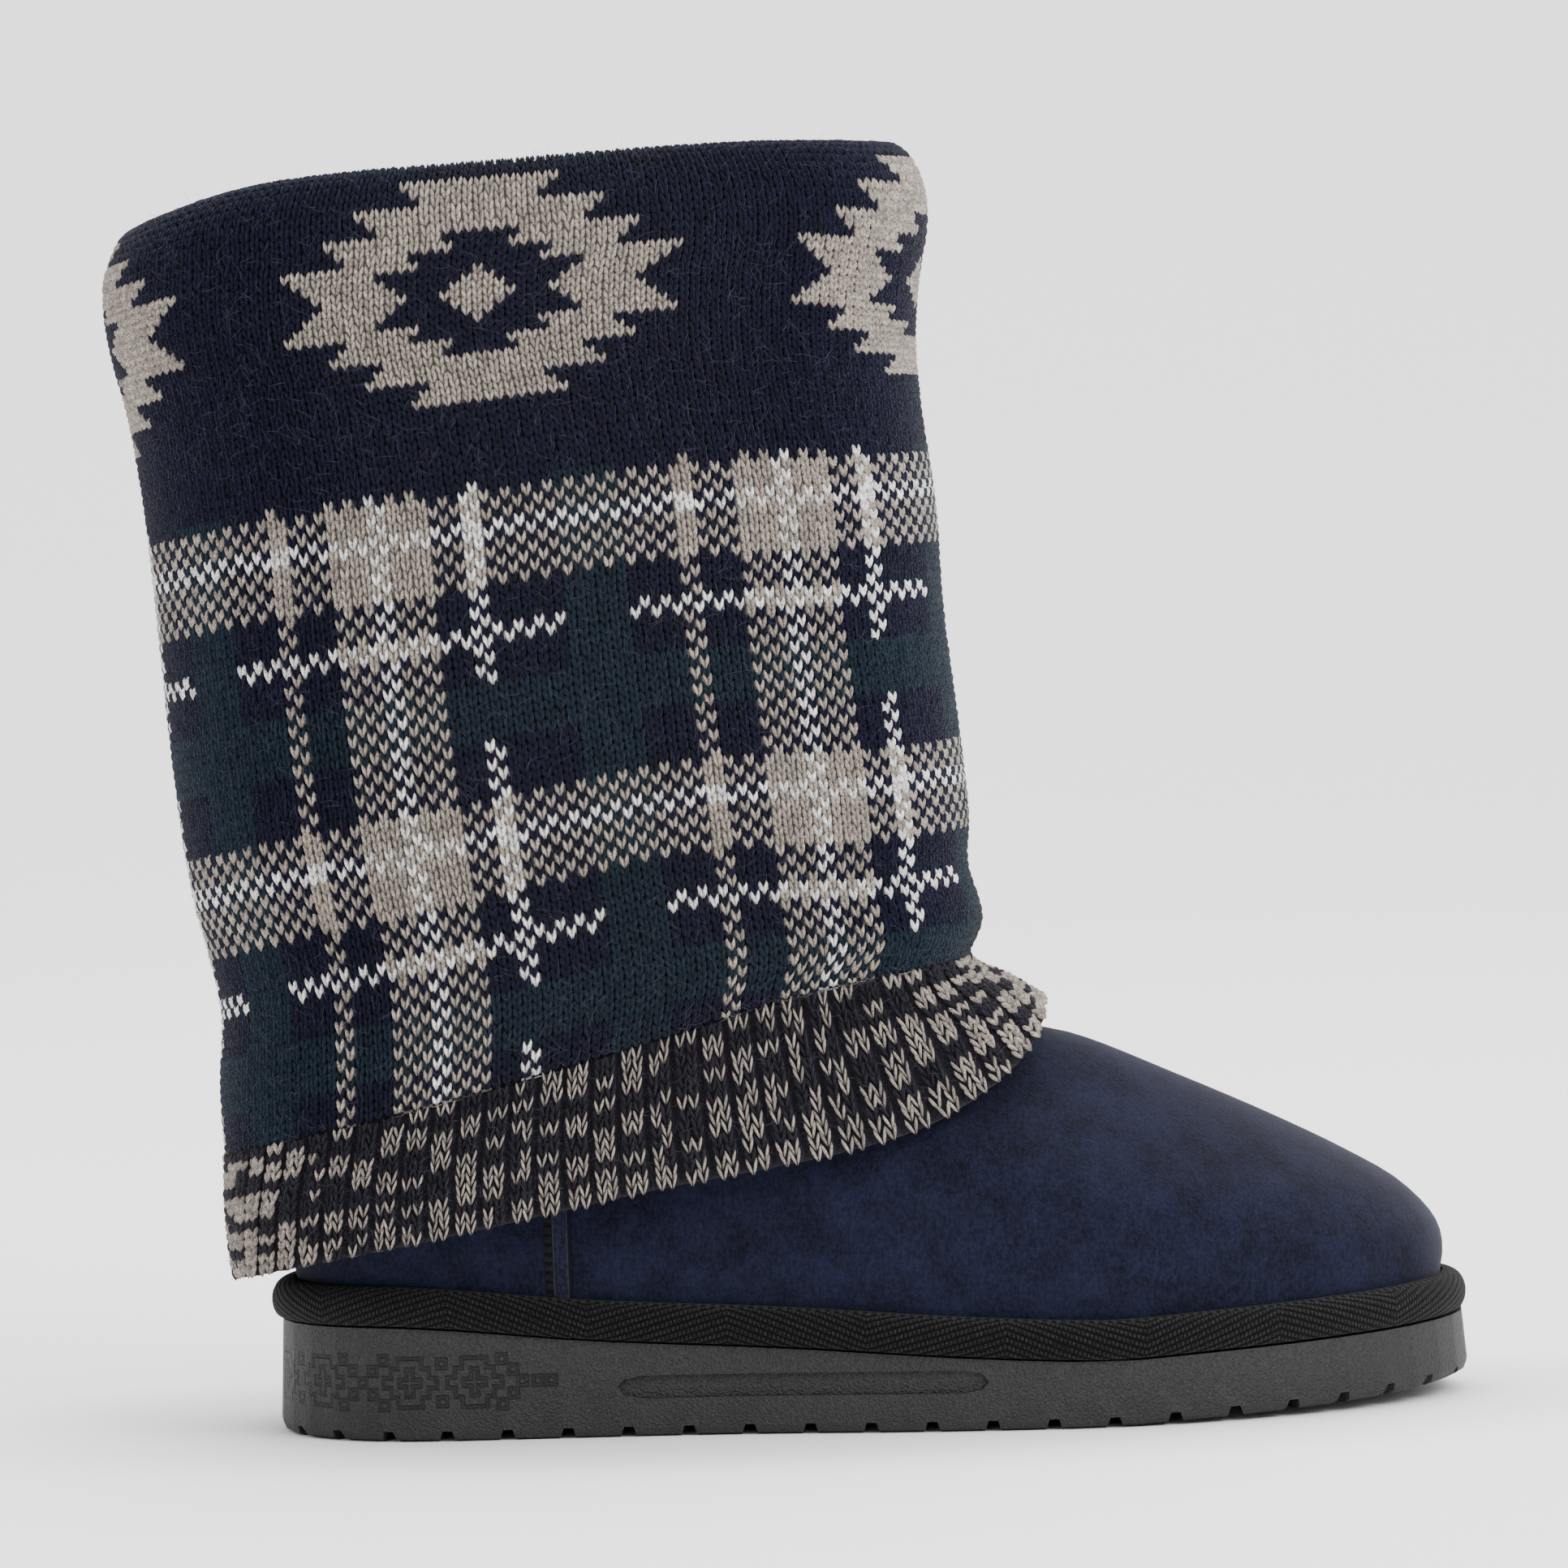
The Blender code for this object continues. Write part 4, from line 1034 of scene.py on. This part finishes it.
class Knit:
    """Places of all stitches on the sleeve."""

    def __init__(self, sizes, foot_sizes):
        self.sizes = sizes
        self.surface = Sleeve(sizes, foot_sizes)

    def paths(self, columns):
        """Dense rings, distance up each column, and the rings' distances at the crease and the crest."""
        rings, crest = self.surface.rings(columns)
        fine, knots, at = dense(rings, KNIT_STEP)
        gone = climbed(fine)
        crease_at = np.searchsorted(at, knots[len(HEM_RINGS) - 1])
        crest_at = np.searchsorted(at, knots[crest])
        return fine, gone, crease_at, crest_at

    def read(self, fine, gone, heights):
        """Points at the given distances up each column: heights has a row for each ring."""
        columns = range(fine.shape[1])
        return np.stack([points_at(fine[:, c], gone[:, c], heights[:, c]) for c in columns], axis=1)

    def body(self):
        """Grid of the sleeve above the crease: two columns for each wale, one ring for each edge of a row."""
        sizes = self.sizes
        fine, gone, crease_at, crest_at = self.paths(2 * sizes.wales)
        rows = sizes.plaid_rows + sizes.band_rows
        share = np.concatenate(
            [
                np.arange(sizes.plaid_rows) * sizes.row_height,
                sizes.plaid_rows * sizes.row_height + np.arange(sizes.band_rows + 1) * sizes.band_row_height,
            ]
        )
        share = share / share[-1]
        low, high = fine[crease_at, :, 2], fine[crest_at, :, 2]
        ahead = between(fine[crease_at, :, 0], *TUCK_SPAN)
        tucked = sizes.tuck + sizes.front_tuck * ahead**2 * (3 - 2 * ahead)
        behind = between(fine[crest_at, :, 0], *LIFT_SPAN)
        lift = LIFT_PEAK * share**2 * (1 - share) * sizes.back_lift
        before = between(fine[crest_at, :, 0], *SAG_SPAN)
        band = between(share, share[sizes.plaid_rows], 1)
        sag = 4 * band * (1 - band) * sizes.front_sag
        heights = np.empty((rows + 1 + sizes.turned_rows, fine.shape[1]))
        for c in range(fine.shape[1]):
            rise = share * (high[c] - low[c] + tucked[c]) - tucked[c]
            pushed = TUCK_SOFT * np.logaddexp(0, rise / TUCK_SOFT)
            z = low[c] + TUCK_REST * share * (high[c] - low[c]) + (1 - TUCK_REST) * pushed
            z = z + lift * behind[c] ** 2 - sag * before[c]
            climb = np.maximum.accumulate(fine[crease_at : crest_at + 1, c, 2])
            by_height = np.interp(z, climb, gone[crease_at : crest_at + 1, c])
            even = gone[crease_at, c] + share * (gone[crest_at, c] - gone[crease_at, c])
            blend = between(share, TURNED_FROM, 1)
            by_height = by_height * (1 - blend) + even * blend
            heights[: rows + 1, c] = by_height
            left = gone[-1, c] - by_height[-1]
            step = min(sizes.band_row_height, left / sizes.turned_rows)
            heights[rows + 1 :, c] = by_height[-1] + step * np.arange(1, sizes.turned_rows + 1)
        return self.read(fine, gone, heights)

    def hem(self, columns):
        """Grid of the ribbed hem, from its edge to the crease."""
        fine, _, crease_at, _ = self.paths(columns)
        fine = np.array([straightened(ring, fine[crease_at]) for ring in fine[: crease_at + 1]])
        gone = climbed(fine)
        share = np.linspace(0, 1, self.sizes.rib_rows + 1)[:, None]
        return self.read(fine, gone, share * gone[-1][None, :])


def cells_of(grid, normals, count, per, low, high):
    """Cells between columns low and high out of every per columns of a grid, count of them in a row."""
    middle = (low + high) // 2

    def level(column):
        edges = grid[:, column::per][:, :count]
        return (edges[:-1] + edges[1:]) / 2, edges[1:] - edges[:-1]

    centre, up = level(middle)
    across = level(high)[0] - level(low)[0]
    return [part.reshape(-1, 3) for part in (centre, across, up, normals[:-1, middle::per][:, :count])]


def palette(colours):
    return np.array([colours.navy, colours.beige, colours.white, colours.green, colours.charcoal])


def knit_base(name, grid, normals, tints, yarn):
    """The cloth under the stitches, with a colour for each cell of its grid: the callers darken it as painted
    shade in the gaps between stitches.
    """
    made = sheet(name, (grid - normals * BASE_DEPTH)[:, ::2], yarn)
    if len(made.data.polygons) != len(tints):
        raise RuntimeError("a sheet lost faces")
    yarn_layer(made.data, "CORNER", np.repeat(tints, 4, axis=0))
    add_wall(made, BASE_WALL)
    return made


class BOOT_OT_sleeve(bpy.types.Operator):
    """Make the knitted sleeve with its stitches"""

    bl_idname = "boot.sleeve"
    bl_label = "Sleeve"

    def execute(self, context):
        sizes = context.scene.sleeve_sizes
        colours = palette(context.scene.yarn_colours)
        knit = Knit(sizes, context.scene.foot_sizes)
        yarn = yarn_paint("yarn")
        grid = knit.body()
        normals = outward(grid)
        rows = len(grid) - 1
        wales = sizes.wales
        chart = np.array([[yarn_of(wale, row) for wale in range(wales)] for row in range(rows)])
        rng = np.random.default_rng(SLEEVE_SEED)
        tints = colours[chart.ravel()]
        tints = tints * rng.uniform(1 - YARN_SPREAD, 1 + YARN_SPREAD, (len(tints), 1))
        # The cloth under the stitches is darkened as painted shade in the gaps between them.
        base = knit_base("sleeve_base", grid, normals, tints * BASE_PAINTED_SHADE, yarn)
        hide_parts("knit_sleeve")
        edges = np.linspace(0, rows, STITCH_BANDS + 1).astype(int)
        tints = tints.reshape(rows, wales, 3)
        for number, (low, high) in enumerate(zip(edges[:-1], edges[1:])):
            cells = cells_of(grid[low : high + 1], normals[low : high + 1], wales, 2, 0, 2)
            count = (high - low) * wales
            tilt = rng.normal(0, 1, (count, 3)) * STITCH_TILT
            shades = rng.uniform(1 - LEG_SPREAD, 1 + LEG_SPREAD, (count, 2, 1))
            tones = tints[low:high].reshape(-1, 1, 3) * shades
            shown = np.linalg.norm(cells[2], axis=1) > TUCKED_ROW * sizes.row_height
            cells, tilt, tones = [part[shown] for part in cells], tilt[shown], tones[shown]
            made = stitch_object(f"sleeve_stitches_{number + 1}", cells, sizes.stitch_rise, tones, tilt, yarn)
        points, faces = loose_fibres(rng, grid, sizes.fibres, sizes.fibre_length)
        fibre_object("sleeve_fibres", points, faces, context.scene.yarn_colours.fibre)
        return {"FINISHED"}


class BOOT_OT_hem(bpy.types.Operator):
    """Make the ribbed hem with its stitches"""

    bl_idname = "boot.hem"
    bl_label = "Ribbed hem"

    def execute(self, context):
        sizes = context.scene.sleeve_sizes
        _, beige, _, _, charcoal = palette(context.scene.yarn_colours)
        knit = Knit(sizes, context.scene.foot_sizes)
        yarn = yarn_paint("rib yarn")
        per = RIB_COLUMNS
        grid = knit.hem(sizes.ribs * per)
        normals = outward(grid)
        phase = (np.arange(grid.shape[1]) % per) / per
        lift = (np.interp(phase, *zip(*RIB_PROFILE)) - RIB_LEVEL) * sizes.rib_rise
        grid = grid + normals * lift[None, :, None]
        rng = np.random.default_rng(HEM_SEED)
        rows = sizes.rib_rows
        tone = marl(rng, rows, sizes.ribs)
        # The hem's cloth under its stitches is darkened as painted shade in the gaps between them.
        tints = np.tile(charcoal * HEM_BASE_PAINTED_SHADE, (rows * (grid.shape[1] // 2), 1))
        base = knit_base("hem_base", grid, normals, tints, yarn)
        both = [cells_of(grid, normals, sizes.ribs, per, low, high) for low, high in RIB_WALES]
        cells = [np.concatenate(parts) for parts in zip(*both)]
        tone = np.concatenate([tone[:, :, wale].ravel() for wale in range(len(RIB_WALES))])
        tone = tone[:, None, None] * rng.uniform(*HEM_SPREAD, (len(tone), 2, 1))
        mixed = charcoal * (1 - tone) + beige * HEM_LIGHT * tone
        tilt = rng.normal(0, 1, (len(mixed), 3)) * RIB_TILT
        rise = sizes.stitch_rise * HEM_RISE
        made = stitch_object("hem_stitches", cells, rise, mixed, tilt, yarn, RIB_LEG)
        longest = sizes.fibre_length * HEM_FIBRE_LENGTH
        points, faces = loose_fibres(rng, grid, sizes.fibres // HEM_FIBRES, longest)
        fibre_object("hem_fibres", points, faces, context.scene.yarn_colours.fibre)
        return {"FINISHED"}


def marl(rng, rows, ribs):
    """Share of beige in each stitch of the hem, rows by ribs by two wales: short runs over a light edge."""
    tone = np.zeros((rows, ribs, 2))
    lift = np.repeat(rng.uniform(*MARL_LIGHT, ribs // 2 + 1), 2)[:ribs]
    lift[:BACK_RIBS] *= BACK_LIGHT
    lift[-BACK_RIBS:] *= BACK_LIGHT
    for rib in range(ribs):
        for wale in range(2):
            row = 0
            light = rng.random() < lift[rib]
            while row < rows:
                run = int(rng.integers(1, 4 if rng.random() < LONG_RUNS else 3))
                tone[row : row + run, rib, wale] = light
                row += run
                light = rng.random() < (STAYS_LIGHT if light else 0.5 + 0.5 * lift[rib])
        if rng.random() < WHOLE_RIBS:
            tone[:, rib, 1] = tone[:, rib, 0]
    tone[:EDGE_ROWS] = np.maximum(tone[:EDGE_ROWS], rng.random((EDGE_ROWS, ribs, 2)) < LIGHT_EDGE)
    return tone


class BOOT_OT_foot(bpy.types.Operator):
    """Make the suede upper with its side seams and lining"""

    bl_idname = "boot.foot"
    bl_label = "Upper"

    def execute(self, context):
        sizes = context.scene.foot_sizes
        sleeve_sizes = context.scene.sleeve_sizes
        foot = Foot(sizes)
        sleeve = Sleeve(sleeve_sizes, sizes)
        rings = [foot.ring(row, UPPER_COLUMNS) for row in FOOT_RINGS]
        inset = SLEEVE_WALL + SHAFT_GAP
        last = len(HEM_RINGS) + len(SHAFT_RINGS) - 1
        rings += [sleeve.ring(number, UPPER_COLUMNS, inset) for number in range(SHAFT_FROM, last)]
        rings.append(sleeve.ring(last, UPPER_COLUMNS, inset, CREST, SHAFT_TOP * sleeve_sizes.fold_drop))
        fine, _, _ = dense(np.array(rings), UPPER_STEP)
        normals = outward(fine)
        off = fine[:, :, 0] - sizes.seam_place
        bulge = np.clip(1 - (off / (sizes.seam_width / 2 + SEAM_SKIRT)) ** 2, 0, 1) ** 0.5
        fade = np.clip((SEAM_TOP - fine[:, :, 2]) / SEAM_FADE, 0, 1)
        fine = fine + normals * (bulge * fade * sizes.seam_rise)[..., None]
        upper = sheet("upper_shell", fine, suede_paint(sizes))
        upper.data.materials.append(fleece_paint())
        add_wall(upper, sizes.wall, 1)
        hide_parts("upper")
        return {"FINISHED"}


class BOOT_OT_binding(bpy.types.Operator):
    """Make the padded tape round the foot"""

    bl_idname = "boot.binding"
    bl_label = "Binding tape"

    def execute(self, context):
        sizes = context.scene.foot_sizes
        foot = Foot(sizes)
        low, high = (foot.ring(row, BINDING_COLUMNS) for row in FOOT_RINGS[:2])
        both = np.array([low, high])
        out = outward(both)[0] * (1, 1, 0)
        out = out / np.linalg.norm(out, axis=1, keepdims=True)
        floor = foot.sole_top(low[:, 0] + out[:, 0] * sizes.binding_thickness) + sizes.clearance
        knots = np.arange(len(BINDING_SECTION))
        fine = through(knots, BINDING_SECTION, np.linspace(0, knots[-1], BINDING_ROWS))
        rings = []
        for share_out, share_up in fine:
            z = floor + sizes.binding_height * share_up
            spot = low + (high - low) * between(z, low[:, 2], high[:, 2])[:, None]
            spot = spot + out * (sizes.clearance + sizes.binding_thickness * share_out)
            spot[:, 2] = z
            rings.append(spot)
        rings.append(rings[0])
        rings = np.array(rings)
        layout = np.empty(rings.shape[:2] + (2,))
        layout[..., 0] = walked(*rings[BINDING_MIDDLE].T)[None, :]
        layout[..., 1] = walked(*rings[:, BINDING_COLUMNS // 4].T)[:, None]
        tape = sheet("tape", rings, tape_paint(), layout, BINDING_SHARP)
        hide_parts("binding_tape")
        return {"FINISHED"}


class BOOT_OT_sole(bpy.types.Operator):
    """Give the outsole and the insole their looks"""

    bl_idname = "boot.sole"
    bl_label = "Sole"

    def execute(self, context):
        sizes = context.scene.foot_sizes
        sole = merged_copy("outsole", "sole", rubber_paint(), SOLE_SHARP)
        x, _, half = Foot(sizes).sole_outline()
        gone = walked(x, half)
        data = sole.data
        points = np.empty(len(data.vertices) * 3, np.float32)
        data.vertices.foreach_get("co", points)
        points = points.reshape(-1, 3) - ORIGIN
        run = np.interp(points[:, 0], x, gone)
        data.attributes.new("run", "FLOAT", "POINT").data.foreach_set("value", run.astype(np.float32))
        side = np.empty(len(data.polygons) * 3, np.float32)
        data.polygons.foreach_get("normal", side)
        upright = (np.abs(side.reshape(-1, 3)[:, 2]) < SIDE_LEAN).astype(np.float32)
        data.attributes.new("side", "FLOAT", "FACE").data.foreach_set("value", upright)
        insole = merged_copy("insole", "footbed", fleece_paint(), FOOTBED_SHARP)
        return {"FINISHED"}


class BOOT_OT_stage(bpy.types.Operator):
    """Set the floor, the lights and the camera"""

    bl_idname = "boot.stage"
    bl_label = "Stage"

    def execute(self, context):
        sizes = context.scene.stage_sizes
        mesh = bmesh.new()
        turn = np.linspace(0, math.pi / 2, FLOOR_STEPS)
        end, near, back = -FLOOR_WIDTH / 2, -FLOOR_NEAR, FLOOR_BACK
        side = [(end, near, 0)]
        side += [(end, back + FLOOR_BEND * (math.sin(a) - 1), FLOOR_BEND * (1 - math.cos(a))) for a in turn]
        side.append((end, back, WALL_HEIGHT))
        verts = [mesh.verts.new(spot) for spot in side]
        edges = [mesh.edges.new(pair) for pair in zip(verts, verts[1:])]
        swept = bmesh.ops.extrude_edge_only(mesh, edges=edges)["geom"]
        moved = [item for item in swept if isinstance(item, bmesh.types.BMVert)]
        bmesh.ops.translate(mesh, vec=(FLOOR_WIDTH, 0, 0), verts=moved)
        data = joined(mesh, "floor")
        paint = Paint("floor", roughness=0.9, specular_ior_level=0.1, emission_strength=FLOOR_PAINTED_LIGHT)
        paint.base(FLOOR)
        # The floor's emission, a painted light, fades out under the boot into a painted shadow.
        along, across = (spot / half for spot, half in zip(paint.axes(paint.coordinates()), PAINTED_SHADOW_EDGE))
        reach = (along * along + across * across).maths("SQRT")
        glow_and_painted_shadow = paint.mix(reach.ramp(*PAINTED_SHADOW_RAMP), (0, 0, 0, 1), (1, 1, 1, 1))
        paint.feed(paint.shader.inputs["Emission Color"], glow_and_painted_shadow)
        data.materials.append(paint.material)
        floor = linked("floor", data)
        world = bpy.data.worlds.new("studio")
        world.use_nodes = True
        background = world.node_tree.nodes["Background"]
        background.inputs["Color"].default_value = (1, 1, 1, 1)
        background.inputs["Strength"].default_value = WORLD_LIGHT
        context.scene.world = world
        for name, spot, size, power in LIGHTS:
            light = bpy.data.lights.new(name, "AREA")
            light.size = size
            light.energy = power
            lamp = linked(name, light)
            lamp.location = spot
            lamp.rotation_euler = (LIT - Vector(spot)).to_track_quat("-Z", "Y").to_euler()
        camera = bpy.data.cameras.new("camera")
        camera.lens = sizes.focal
        camera.sensor_width = 36
        camera.clip_end = 50
        eye = Vector((sizes.aim_along, -sizes.distance, sizes.eye_height))
        aim = Vector((sizes.aim_along, 0, sizes.aim_height))
        back = (eye - aim).normalized()
        right = Vector((math.cos(sizes.roll), 0, -math.sin(sizes.roll)))
        right = (right - back * right.dot(back)).normalized()
        turn = Matrix((right, back.cross(right), back)).transposed().to_4x4()
        holder = linked("camera", camera)
        holder.matrix_world = Matrix.Translation(eye) @ turn
        context.scene.camera = holder
        return {"FINISHED"}


OPERATORS = (BOOT_OT_sole, BOOT_OT_foot, BOOT_OT_binding, BOOT_OT_hem, BOOT_OT_sleeve, BOOT_OT_stage)


class BOOT_PT_panel(bpy.types.Panel):
    """Boot pieces and their sizes"""

    bl_label = "Mukluk boot"
    bl_idname = "BOOT_PT_panel"
    bl_space_type = "VIEW_3D"
    bl_region_type = "UI"
    bl_category = "Boot"

    def draw(self, context):
        layout = self.layout
        for operator in OPERATORS:
            layout.operator(operator.bl_idname)
        for name in GROUPS:
            group = getattr(context.scene, name)
            box = layout.box()
            for key in group.bl_rna.properties.keys():
                if key not in ("rna_type", "name"):
                    box.prop(group, key)


GROUPS = {
    "foot_sizes": FootSizes,
    "sleeve_sizes": SleeveSizes,
    "yarn_colours": YarnColours,
    "stage_sizes": StageSizes,
}


def register():
    for name, group in GROUPS.items():
        bpy.utils.register_class(group)
        setattr(bpy.types.Scene, name, PointerProperty(type=group))
    for operator in OPERATORS:
        bpy.utils.register_class(operator)
    bpy.utils.register_class(BOOT_PT_panel)


def unregister():
    bpy.utils.unregister_class(BOOT_PT_panel)
    for operator in reversed(OPERATORS):
        bpy.utils.unregister_class(operator)
    for name, group in reversed(GROUPS.items()):
        delattr(bpy.types.Scene, name)
        bpy.utils.unregister_class(group)


def frame_origin():
    """Place of the drawing's origin in the frame: the back of the heel, on the foot's centre line."""
    low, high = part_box("outsole")
    _, centre, half = Foot(bpy.context.scene.foot_sizes).sole_outline()
    middle = ((centre + half).max() + (centre - half).min()) / 2
    return np.array([low.x, (low.y + high.y) / 2 - middle, 0.0])


def main():
    global ORIGIN
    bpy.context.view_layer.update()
    register()
    ORIGIN = frame_origin()
    for step in (
        bpy.ops.boot.sole,
        bpy.ops.boot.foot,
        bpy.ops.boot.binding,
        bpy.ops.boot.hem,
        bpy.ops.boot.sleeve,
        bpy.ops.boot.stage,
    ):
        step()


if __name__ == "__main__":
    main()
